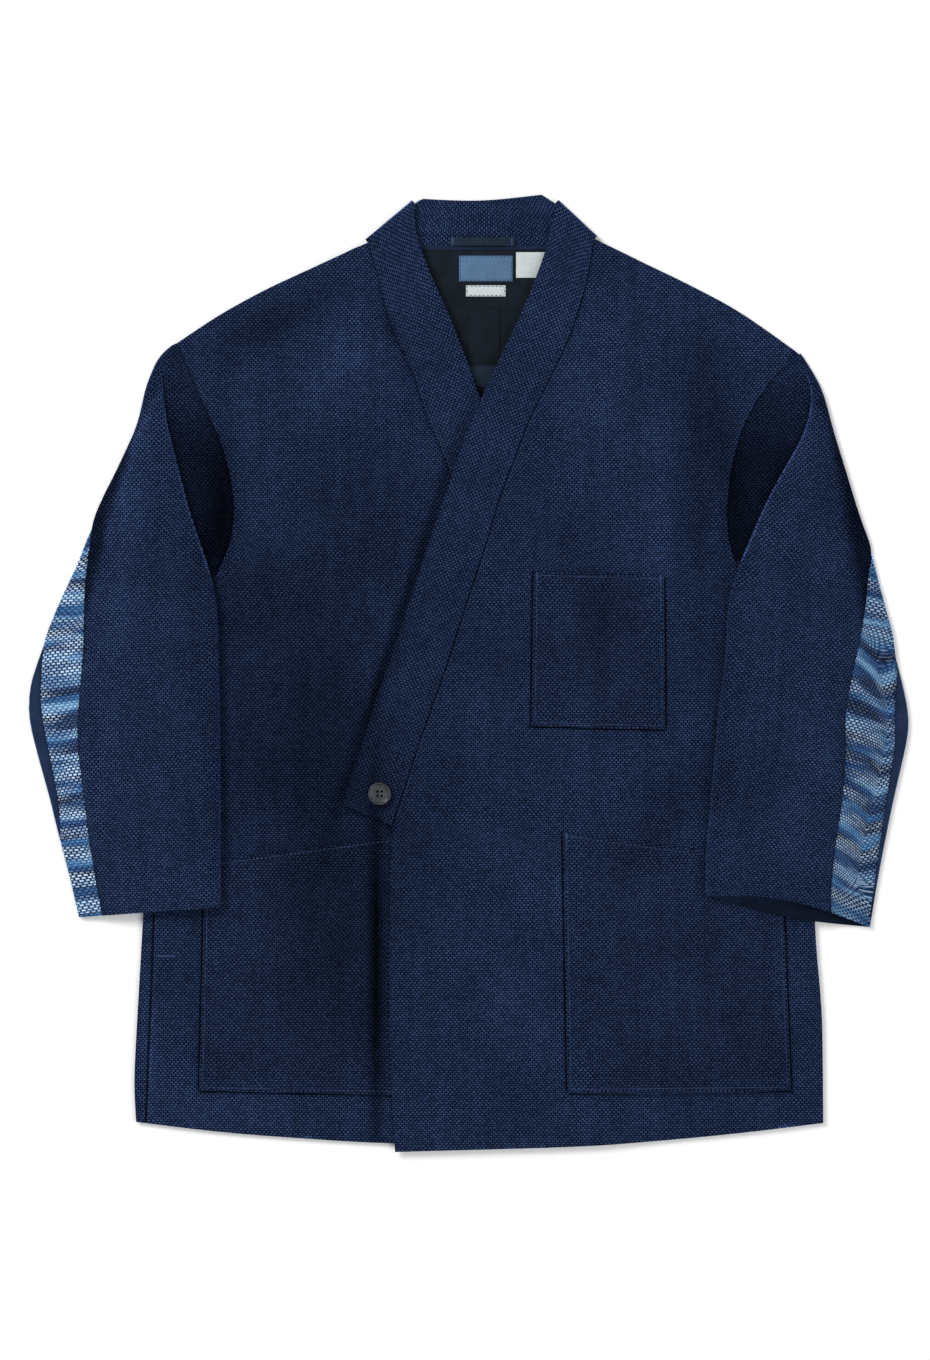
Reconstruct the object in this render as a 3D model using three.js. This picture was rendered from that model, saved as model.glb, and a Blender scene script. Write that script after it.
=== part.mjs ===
// A thigh-length haori jacket of thick sashiko-woven cotton, buttoned and laid on its back on a table.
// Units are millimetres. +Z is up, the collar points to +Y and the hem to -Y, and the wearer's right is -X.
// Each cut piece is a wall of its own. The pieces are worked out from the tables of sections below:
// the body lies in layers, the collar is one folded band that turns over at both shoulders, and each
// sleeve is a flattened tube of three panels whose slack is tucked under its inner fold at the armhole.
import * as THREE from "three";

// Driving dimensions.
const CLOTH = 1.6; // the sashiko cloth
const PLAIN = 1.0; // lining, tapes and labels
const BAND = 3.2; // the collar band, folded double
const SEAM = 0.3; // between neighbours that are sewn edge to edge
const LAY = 0.7; // air between layers that lie on each other
const FOLD = (CLOTH + LAY) / 2; // radius of a sleeve fold, to the middle of the cloth
const CENTRE = 9; // x of the body's middle line
const HEM = -400; // y where the body's hem begins to lift
const NECK_LIFT = 2.6; // the fronts ride over the lining and the labels at the neck
const BUTTON_AT = { x: -77, y: -102 };

// Rows of numbers with named columns.
const table = (names, ...rows) =>
  rows.map((row) =>
    Object.fromEntries(names.split(" ").map((name, i) => [name, row[i]])),
  );

const RIGHT_SIDE = table(
  "x y",
  [-286.5, -384.5], [-288, -355], [-287, -322], [-281.5, -225], [-273, -74], [-266, 45],
);
const LEFT_SIDE = table(
  "x y",
  [304, -385.5], [303, -300], [299.5, -250], [297, -215], [291, -74], [286, 45],
);
const RIGHT_ARMHOLE = table(
  "x y",
  [-266, 45], [-240, 59], [-221, 81], [-208, 107], [-202.5, 139],
  [-205, 166], [-212, 195], [-222.5, 220], [-233.5, 243], [-250.5, 285.5],
);
const LEFT_ARMHOLE = table(
  "x y",
  [286, 45], [256, 57], [231, 91], [223.5, 113], [221.5, 138],
  [223.5, 166], [229, 194], [239, 221], [252, 243], [280, 278],
);
const RIGHT_SHOULDER = table(
  "x y",
  [-250.5, 285.5], [-215.5, 308.5], [-180.5, 328], [-147, 344], [-87, 371],
);
const LEFT_SHOULDER = table(
  "x y",
  [107, 374], [149, 354], [191, 333.7], [232.5, 311], [280, 278],
);
const BACK_NECK = table("x y", [-87, 371], [-50, 366.5], [68, 366.5], [107, 374]);
const BACK_HEM = table(
  "x y",
  [-286.5, -384.5], [-146, -395], [9, -402], [147, -398], [304, -385.5],
);
const RIGHT_HEM = table(
  "x y",
  [-286.5, -384.5], [-215, -393], [-146, -398.5], [-64, -403], [90, -406],
);
const LEFT_HEM = table(
  "x y",
  [-64, -410], [78, -406], [147, -402], [224, -395], [304, -385.5],
);
const RIGHT_EDGE = table("x y", [90, -406], [88, -260], [86, -127]);
const LEFT_EDGE = table("x y", [-64, -410], [-68, -323], [-69, -237], [-67, -129]);

// The collar band, from its buttoned end up to the left shoulder, round the back of the neck and down
// to its hidden end on the right front. seam is the edge sewn to the body and free is the folded edge.
const LEFT_BAND = table(
  "seamX seamY freeX freeY",
  [-67, -129, -110, -111],
  [-64, -121, -107, -103],
  [-54, -90, -98, -78],
  [-44, -59, -88, -48],
  [-32, -25, -78, -14],
  [-18, 14, -64, 25],
  [-6, 53, -50, 66],
  [11, 104, -34, 116],
  [24, 148, -18, 162],
  [37, 183, -5, 200],
  [49, 215, 8, 232],
  [61, 240, 19, 256],
  [74, 266, 31, 281],
  [86, 292, 44, 309],
  [96, 322, 57, 341],
  [102, 348, 67, 371],
  [107, 374, 74, 405],
);
const BACK_BAND = table(
  "seamX seamY freeX freeY",
  [107, 374, 74, 405],
  [82, 369.5, 62, 412.5],
  [48, 366.8, 40, 410],
  [9, 366.8, 9, 407.5],
  [-30, 366.8, -22, 408],
  [-60, 368, -40, 409],
  [-87, 371, -47, 404.5],
);
const RIGHT_BAND = table(
  "seamX seamY freeX freeY",
  [-87, 371, -47, 404.5],
  [-79, 345, -46, 381],
  [-74, 323, -38, 355],
  [-68, 303, -28, 331],
  [-61, 286, -18, 309],
  [-54, 270, -10, 289],
  [-46, 252, -2, 268],
  [-38, 226, 8, 240],
  [-28, 202, 18, 214],
  [-15, 169, 30, 182],
  [2, 119, 47, 132],
  [19, 69, 65, 82],
  [36, 19, 82, 32],
  [53, -31, 99, -18],
  [70, -81, 117, -68],
  [86, -127, 132, -110],
);

// The sleeves, from the shoulder down to the cuff. out is the outer outline and fold the inner one.
// hole is the armhole seam, down to the underarm. turn, in degrees, and tuck say how far the slack is
// turned under the inner fold. near is where the elbow strip meets the front panel, measured inwards
// from the outline, and below 0 on the underside; strip is the strip's width.
const SLEEVE_COLUMNS = "outX outY foldX foldY holeX holeY turn tuck near strip";
const RIGHT_SLEEVE = table(
  SLEEVE_COLUMNS,
  [-255, 283, -253.3, 282.9, -251.1, 283.5, 0, 0, -1, 0],
  [-266, 272.5, -260.5, 269.5, -245.5, 271, 0, 0, -3.5, 0],
  [-273.5, 257.5, -264, 256, -240.5, 259, 70, 0, -5, 0],
  [-279, 241.5, -263.5, 240, -233.5, 243, 150, 0.5, -7, 3],
  [-284.5, 218, -260.5, 217, -222.5, 220, 180, 4, -10, 18],
  [-294, 194.5, -255, 194, -212, 195, 180, 9, -12, 28],
  [-307.5, 165.5, -247.5, 165, -205, 166, 180, 14, -9, 34],
  [-321, 137.5, -240, 137.5, -202.5, 139, 180, 18, -3, 36],
  [-332.5, 105, -230, 108, -208, 107, 180, 20, 6, 37],
  [-344.5, 77.5, -221.5, 80, -221, 81, 180, 20, 15, 36],
  [-356, 51.5, -217, 52, -217, 52, 180, 16, 26, 33],
  [-366, 24.5, -216, 22, -216, 22, 180, 14, 35, 34],
  [-378, -19, -215, -19, -215, -19, 180, 14, 44, 34],
  [-373.5, -58, -214.5, -58, -214.5, -58, 180, 14, 38, 27],
  [-361.5, -104, -214, -102, -214, -102, 180, 14, 31, 23.5],
  [-350.5, -144.5, -214, -143, -214, -143, 180, 14, 25, 24],
  [-341, -182, -214, -176, -214, -176, 180, 14, 21.5, 25],
  [-335, -208.5, -214, -199, -214, -199, 180, 14, 20.5, 24],
);
const LEFT_SLEEVE = table(
  SLEEVE_COLUMNS,
  [284.4, 275.4, 282.7, 275.2, 280.5, 275.8, 0, 0, -1, 0],
  [290.5, 266, 287.2, 265, 272.5, 267, 0, 0, -3.5, 0],
  [299, 251.5, 293, 249.5, 262, 256.5, 70, 0, -6, 0],
  [305.5, 235, 294, 233.5, 252, 243, 150, 0.5, -9, 3],
  [311.5, 213, 289.5, 212.5, 239, 221, 180, 4, -14, 18],
  [318, 191, 279, 190.5, 229, 194, 180, 9, -16, 30],
  [326, 164.5, 264.5, 165, 223.5, 166, 180, 14, -14, 36],
  [334, 138.5, 251, 138, 221.5, 138, 180, 18, -8, 38],
  [342.5, 115.5, 241, 115, 223.5, 113, 180, 20, -3.5, 38],
  [348, 92, 231.5, 92, 231, 91, 180, 20, 5, 36],
  [355, 65, 223.5, 64, 223.5, 64, 180, 16, 15, 36],
  [363.5, 32, 221, 32, 221, 32, 180, 14, 29, 33],
  [369, 2, 218.5, 2, 218.5, 2, 180, 14, 41, 39],
  [376.3, -33, 214, -33, 214, -33, 180, 14, 54.5, 43],
  [375, -58, 212, -60, 212, -60, 180, 14, 53, 43],
  [363.5, -109.5, 207.5, -108, 207.5, -108, 180, 14, 45, 39],
  [352.5, -164.5, 203.5, -155, 203.5, -155, 180, 14, 42, 39],
  [343.5, -217, 203, -189, 203, -189, 180, 14, 35, 34],
);
const UNDERARM_ROW = 9; // the row of both tables where the armhole meets the inner fold

// Soft folds: the middle of each, the way its crest runs in degrees from +X, its reach along and
// across the crest, and its height, or its depth if below 0.
const FOLD_COLUMNS = "x y angle along across height";
const BODY_FOLDS = table(
  FOLD_COLUMNS,
  [-150, 240, 60, 130, 34, 5],
  [-104, 165, 60, 60, 42, -2.6],
  [-150, 20, 15, 90, 60, 2.2],
  [-90, -60, 70, 70, 30, 1.6],
  [-150, -235, -50, 80, 26, -1.8],
  [-130, -320, 5, 90, 30, 1.4],
  [118, 285, -25, 80, 46, 2.4],
  [200, 200, 78, 72, 30, 3.8],
  [150, 90, 20, 70, 56, -1.2],
  [186, -92, 48, 60, 17, -2.4],
  [140, -130, 30, 90, 30, 2],
  [-8, -260, 88, 140, 30, 2],
  [62, -300, 94, 110, 22, -1.5],
  [170, -300, 90, 80, 40, 1.6],
);
const BODY_LOFT = 3; // how far the fronts float over the back, away from the seams
const SLEEVE_FOLDS = table(
  FOLD_COLUMNS,
  [-292, 110, 82, 120, 26, 6.5],
  [-262, -20, 78, 70, 22, -2],
  [-300, -120, 95, 90, 34, 3],
  [305, 110, 104, 110, 28, 5],
  [262, -10, 96, 80, 24, -2],
  [290, -120, 80, 90, 34, 3.5],
);
const SLEEVE_LOFT = 2; // how far a sleeve's upper layer floats over its lower one

const clamp = (t) => Math.min(1, Math.max(0, t));
const ease = (t) => clamp(t) ** 2 * (3 - 2 * clamp(t));
const mix = (a, b, t) => a + (b - a) * t;

function folded(folds, x, y) {
  let sum = 0;
  for (const fold of folds) {
    const angle = THREE.MathUtils.degToRad(fold.angle);
    const along = (x - fold.x) * Math.cos(angle) + (y - fold.y) * Math.sin(angle);
    const across = (y - fold.y) * Math.cos(angle) - (x - fold.x) * Math.sin(angle);
    sum += fold.height * Math.exp(-((along / fold.along) ** 2) - (across / fold.across) ** 2);
  }
  return sum;
}

// x of an edge at a height y, from a table that runs up or down it.
function edgeAt(rows, y, key = "x", level = "y") {
  const sorted = [...rows].sort((a, b) => a[level] - b[level]);
  const next = sorted.findIndex((row) => row[level] >= y);
  if (next < 0) return sorted.at(-1)[key];
  if (next === 0) return sorted[0][key];
  const [a, b] = [sorted[next - 1], sorted[next]];
  return mix(a[key], b[key], (y - a[level]) / (b[level] - a[level]));
}

// How far a point lies inside the edge of the body, below 0 outside it.
const BODY_LINES = [
  [...RIGHT_SIDE, ...RIGHT_ARMHOLE.slice(1)],
  [...LEFT_SIDE, ...LEFT_ARMHOLE.slice(1)],
];
function insideBody(x, y) {
  const line = BODY_LINES[x < CENTRE ? 0 : 1];
  let nearest = Infinity;
  for (let i = 1; i < line.length; i++) {
    const [a, b] = [line[i - 1], line[i]];
    const run = { x: b.x - a.x, y: b.y - a.y };
    const t = clamp(((x - a.x) * run.x + (y - a.y) * run.y) / (run.x ** 2 + run.y ** 2));
    nearest = Math.min(nearest, Math.hypot(x - a.x - t * run.x, y - a.y - t * run.y));
  }
  return Math.abs(x) < Math.abs(edgeAt(line, y)) ? nearest : -nearest;
}

// How far the fronts float above the lie of flat cloth.
function bodyLoft(x, y) {
  const aside = Math.abs(x - CENTRE);
  const shoulder = 369 - 0.53 * (aside - 95);
  const fade = ease(insideBody(x, y) / 45) * ease((y - HEM) / 60) * ease((shoulder - y) / 50);
  const neck = NECK_LIFT * ease((150 - aside) / 40) * ease((y - 190) / 45);
  return neck + fade * Math.max(0, BODY_LOFT + folded(BODY_FOLDS, x, y));
}

// The undersides of the layers, from the table up.
const frontUnder = (x, y) => CLOTH + LAY + bodyLoft(x, y);

// The right front's pocket reaches a little under the left front's edge.
const POCKET_REACH = { x: -56, low: -361, high: -138 };

// How much higher the left front lies where the right front, its band and its pocket are under it.
function overlapLift(x, y) {
  const seam = y > -127 ? edgeAt(RIGHT_BAND, y, "seamX", "seamY") : edgeAt(RIGHT_EDGE, y);
  const free = edgeAt(RIGHT_BAND, y, "freeX", "freeY");
  const cloth = (CLOTH + LAY) * ease((seam + 78 - x) / 56);
  const beside = ease((x - seam + 62) / 40) * ease((free + 78 - x) / 56);
  const band = (BAND + LAY) * beside * ease((y + 190) / 40);
  const { low, high } = POCKET_REACH;
  const level = ease((y - low + 62) / 44) * ease((high + 62 - y) / 44);
  const pocket = (CLOTH + LAY) * ease((POCKET_REACH.x + 62 - x) / 44) * level;
  return Math.max(cloth, band) + pocket;
}
const leftUnder = (x, y) => frontUnder(x, y) + overlapLift(x, y);

// Patch pockets: [top edge], [bottom edge] and the front that each lies on.
const PATCHES = {
  chest_pocket: {
    under: leftUnder,
    top: table("x y", [55, 88], [112, 86.5], [167, 85]),
    bottom: table("x y", [53, -44], [112, -46], [168, -47]),
  },
  left_pocket: {
    under: leftUnder,
    top: table("x y", [80, -135], [150, -144], [268, -161]),
    bottom: table("x y", [84, -359], [181, -360], [276, -357]),
  },
  right_pocket: {
    under: frontUnder,
    top: table("x y", [-227, -161], [-120, -147], [-56, -138]),
    bottom: table("x y", [-232, -357], [-146, -359], [-56, -361]),
  },
};

// How far a lower pocket lifts the sleeve that lies on it.
function pocketLift(x, y) {
  const { top, bottom } = x < CENTRE ? PATCHES.right_pocket : PATCHES.left_pocket;
  const reach = Math.max(...[...top, ...bottom].map((row) => Math.abs(row.x)));
  const level = edgeAt(top, x, "y", "x");
  return (CLOTH + LAY) * ease((reach + 34 - Math.abs(x)) / 24) * ease((level + 36 - y) / 24);
}

// The middle of a sleeve's lower layer over the body, measured from the table. wide spreads the climb
// over the body's edge, as the upper layer does.
function climb(x, y, wide) {
  const inside = insideBody(x, y);
  const stack = 2 * (CLOTH + LAY) + bodyLoft(x, y) + pocketLift(x, y);
  return stack * (wide ? ease((inside + 52) / 40) : ease((inside + 24) / 14));
}

// --- curves and grids -------------------------------------------------------------------------------

// count + 1 points evenly spaced along a smooth curve through the rows.
function along(rows, count) {
  const curve = new THREE.SplineCurve(rows.map(({ x, y }) => new THREE.Vector2(x, y)));
  curve.arcLengthDivisions = 400;
  return curve.getSpacedPoints(count);
}

// Joins curves end to end, each with its own number of steps, so that the corners between them stay.
function chain(...parts) {
  const points = [];
  for (const [rows, count] of parts) {
    const more = along(rows, count);
    points.push(...(points.length ? more.slice(1) : more));
  }
  return points;
}

// A grid of points filling the space between four edges. low and high run to +X, the sides run to +Y.
function fill(low, high, right, left) {
  const n = low.length - 1;
  const m = right.length - 1;
  const grid = [];
  for (let j = 0; j <= m; j++) {
    const v = j / m;
    const row = [];
    for (let i = 0; i <= n; i++) {
      const u = i / n;
      const blend = (key) =>
        mix(right[j][key], left[j][key], u) +
        mix(low[i][key], high[i][key], v) -
        mix(mix(low[0][key], low[n][key], u), mix(high[0][key], high[n][key], u), v);
      row.push({ x: blend("x"), y: blend("y") });
    }
    grid.push(row);
  }
  return grid;
}

// Closes two matching sheets of points into a solid.
function closed(upper, lower) {
  const rows = upper.length;
  const columns = upper[0].length;
  const id = (side, i, j) => side * rows * columns + i * columns + j;
  const index = [];
  const quad = (a, b, c, d) => index.push(a, b, c, a, c, d);
  for (let i = 0; i < rows - 1; i++) {
    for (let j = 0; j < columns - 1; j++) {
      quad(id(0, i, j), id(0, i, j + 1), id(0, i + 1, j + 1), id(0, i + 1, j));
      quad(id(1, i, j), id(1, i + 1, j), id(1, i + 1, j + 1), id(1, i, j + 1));
    }
  }
  const wall = (i0, j0, i1, j1) => quad(id(1, i0, j0), id(1, i1, j1), id(0, i1, j1), id(0, i0, j0));
  for (let j = 0; j < columns - 1; j++) {
    wall(0, j, 0, j + 1);
    wall(rows - 1, j + 1, rows - 1, j);
  }
  for (let i = 0; i < rows - 1; i++) {
    wall(i + 1, 0, i, 0);
    wall(i, columns - 1, i + 1, columns - 1);
  }
  const position = [...upper.flat(), ...lower.flat()].flatMap((p) => [p.x, p.y, p.z]);
  const geometry = new THREE.BufferGeometry();
  geometry.setAttribute("position", new THREE.Float32BufferAttribute(position, 3));
  geometry.setIndex(index);
  return geometry;
}

// A layer of cloth over a grid, with its underside at the given height.
function layer(grid, under, thick) {
  const at = (extra) => grid.map((row) => row.map(({ x, y }) => ({ x, y, z: under(x, y) + extra })));
  return closed(at(thick), at(0));
}

// A node of a cloth surface: its place u along its row, its point and the sum of the normals round it.
let nodeCount = 0;
function node(u, x, y, z) {
  return { u, p: new THREE.Vector3(x, y, z), n: new THREE.Vector3(), id: nodeCount++ };
}

// Cloth to either side of a surface of nodes, each n a sum of the normals around it. shift
// moves nodes at a seam back from it.
function thicken(nodes, triangles, thick, shift = () => null) {
  const used = new Map();
  for (const corner of triangles.flat()) if (!used.has(corner)) used.set(corner, used.size);
  const position = [];
  for (const way of [1, -1]) {
    for (const corner of used.keys()) {
      const point = corner.p.clone().addScaledVector(corner.n.clone().normalize(), (way * thick) / 2);
      const back = shift(corner);
      if (back) point.add(back);
      position.push(...point.toArray());
    }
  }
  const index = [];
  const edges = new Map();
  for (const corners of triangles) {
    const [a, b, c] = corners.map((corner) => used.get(corner));
    index.push(a, b, c, used.size + a, used.size + c, used.size + b);
    for (const [p, q] of [[a, b], [b, c], [c, a]]) {
      if (edges.has(q + ":" + p)) edges.delete(q + ":" + p);
      else edges.set(p + ":" + q, [p, q]);
    }
  }
  // Walls are cut along the same diagonal on both sides of a seam.
  const all = [...used.keys()];
  for (const [p, q] of edges.values()) {
    const [low, high] = [used.size + p, used.size + q];
    if (all[p].id < all[q].id) index.push(q, p, low, q, low, high);
    else index.push(q, p, high, p, low, high);
  }
  const geometry = new THREE.BufferGeometry();
  geometry.setAttribute("position", new THREE.Float32BufferAttribute(position, 3));
  geometry.setIndex(index);
  return geometry;
}

// Triangles between two rows of nodes, paired up by each node's place u along its row.
function stitch(one, other) {
  const triangles = [];
  let [i, j] = [0, 0];
  while (i < one.length - 1 || j < other.length - 1) {
    const step = j === other.length - 1 || (i < one.length - 1 && one[i + 1].u <= other[j + 1].u);
    if (step) triangles.push([one[i], one[++i], other[j]]);
    else triangles.push([one[i], other[j + 1], other[j++]]);
  }
  return triangles;
}

// Adds each triangle's normal to its corners.
function addNormals(triangles) {
  for (const [a, b, c] of triangles) {
    const side = new THREE.Vector3().subVectors(b.p, a.p);
    const normal = side.cross(new THREE.Vector3().subVectors(c.p, a.p));
    const size = normal.length();
    if (size > 1e-9) normal.divideScalar(Math.sqrt(size));
    for (const corner of [a, b, c]) corner.n.add(normal);
  }
}

// --- finishes -----------------------------------------------------------------------------------------

const finish = (color, roughness = 0.92) =>
  new THREE.MeshStandardMaterial({ color, roughness, metalness: 0 });
const SASHIKO = finish(0x1f2b47);
const STRIP = finish(0x57779c);
const LINING = finish(0x1a222c);
const BINDING = finish(0x24303c);
const LABEL_BLUE = finish(0x56728f, 0.8);
const LABEL_WHITE = finish(0xc9cfcf, 0.8);
const BUTTON = finish(0x1d2027, 0.35);

const garment = new THREE.Group();
function add(name, geometry, material) {
  const mesh = new THREE.Mesh(geometry, material);
  mesh.name = name;
  garment.add(mesh);
}

// --- the body -----------------------------------------------------------------------------------------

const UP = 23; // steps from the hem to the shoulder
const SIDE_UP = 14; // of those, the ones along the side seam
const sides = {
  right: chain([RIGHT_SIDE, SIDE_UP], [RIGHT_ARMHOLE, UP - SIDE_UP]),
  left: chain([LEFT_SIDE, SIDE_UP], [LEFT_ARMHOLE, UP - SIDE_UP]),
};

function back() {
  const low = along(BACK_HEM, 18);
  const high = chain([RIGHT_SHOULDER, 6], [BACK_NECK, 6], [LEFT_SHOULDER, 6]);
  return layer(fill(low, high, sides.right, sides.left), () => 0, CLOTH);
}

function rightFront() {
  const across = 15;
  const seam = RIGHT_BAND.map((row) => ({ x: row.seamX - SEAM, y: row.seamY })).reverse();
  const inner = [...along(RIGHT_EDGE, UP - seam.length), ...seam];
  const grid = fill(along(RIGHT_HEM, across), along(RIGHT_SHOULDER, across), sides.right, inner);
  return layer(grid, frontUnder, CLOTH);
}

function leftFront() {
  const across = 17;
  const seam = LEFT_BAND.map((row) => ({ x: row.seamX + SEAM, y: row.seamY }));
  const inner = [...along(LEFT_EDGE, UP - seam.length), ...seam];
  const grid = fill(along(LEFT_HEM, across), along(LEFT_SHOULDER, across), inner, sides.left);
  return layer(grid, leftUnder, CLOTH);
}

add("back", back(), SASHIKO);
add("right_front", rightFront(), SASHIKO);
add("left_front", leftFront(), SASHIKO);

// --- the collar ---------------------------------------------------------------------------------------

// Nodes across the band at one of its rows, from the seam to the free edge.
function bandRow({ seamX, seamY, freeX, freeY }, under, u) {
  const row = [];
  for (let k = 0; k <= 2; k++) {
    const [x, y] = [mix(seamX, freeX, k / 2), mix(seamY, freeY, k / 2)];
    row.push(node(k, x, y, under(x, y) + BAND / 2));
  }
  return row;
}

// The rows between one that ends over the shoulder and one that begins under it: the band turns over
// like a page about the line through the row.
function turnOver(upper, lower, outward) {
  const rows = [];
  for (let k = 1; k < 4; k++) {
    const angle = (k * Math.PI) / 4;
    rows.push(
      upper.map((start, i) => {
        const radius = (start.p.z - lower[i].p.z) / 2;
        const p = start.p.clone().addScaledVector(outward, radius * Math.sin(angle));
        return node(i, p.x, p.y, lower[i].p.z + radius + radius * Math.cos(angle));
      }),
    );
  }
  return rows;
}

function collar() {
  const left = LEFT_BAND.map((row) => bandRow(row, leftUnder));
  const nape = BACK_BAND.map((row) => bandRow(row, () => 0));
  const right = RIGHT_BAND.map((row) => bandRow(row, frontUnder));
  const awayFrom = ({ seamX, seamY, freeX, freeY }, way) => {
    const line = new THREE.Vector3(freeX - seamX, freeY - seamY, 0).normalize();
    return new THREE.Vector3(line.y, -line.x, 0).multiplyScalar(way);
  };
  const rows = [
    ...left,
    ...turnOver(left.at(-1), nape[0], awayFrom(LEFT_BAND.at(-1), 1)),
    ...nape,
    ...turnOver(right[0], nape.at(-1), awayFrom(RIGHT_BAND[0], -1)).reverse(),
    ...right,
  ];
  const triangles = rows.slice(1).flatMap((row, i) => stitch(rows[i], row));
  addNormals(triangles);
  return thicken(rows.flat(), triangles, BAND);
}

add("collar", collar(), SASHIKO);

// --- the sleeves --------------------------------------------------------------------------------------

// Where the rows of a sleeve lie, counted in rows of its table: closer at the underarm and the cuff.
const SLEEVE_ROWS = [
  0, 1, 2, 3, 4, 5, 6, 7, 8, 8.6, 9, 9.35, 9.7, 10, 10.5, 11, 12, 13,
  14, 14.5, 15, 15.4, 15.8, 16.2, 16.6, 17,
];
const LIFT_OFF = 8.6; // the row where the lower layer leaves the table for the body
const ALLOWANCE = 3; // of the hidden seam below the underarm
const FOLD_PUFF = 4.6; // how much the inner fold stands up where the slack is deepest
const CLOSE_REACH = 110; // from the underside's end, where its nodes stand close to follow the body

// A smooth curve through b and c, with a before them and d after, at f from b to c.
function curve(a, b, c, d, f) {
  const third = 3 * (b - c) + d - a;
  const second = 2 * a - 5 * b + 4 * c - d;
  return b + 0.5 * f * (c - a + f * (second + f * third));
}

// A row of the table, or one between two of them.
function rowAt(rows, t) {
  const i = Math.min(rows.length - 2, Math.floor(t));
  const near = [i - 1, i, i + 1, i + 2].map((k) => THREE.MathUtils.clamp(k, 0, rows.length - 1));
  const row = {};
  for (const key of Object.keys(rows[0])) {
    const [a, b, c, d] = near.map((k) => rows[k][key]);
    const curved = /^(out|fold)/.test(key);
    row[key] = curved ? curve(a, b, c, d, t - i) : mix(b, c, t - i);
  }
  return row;
}

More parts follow.
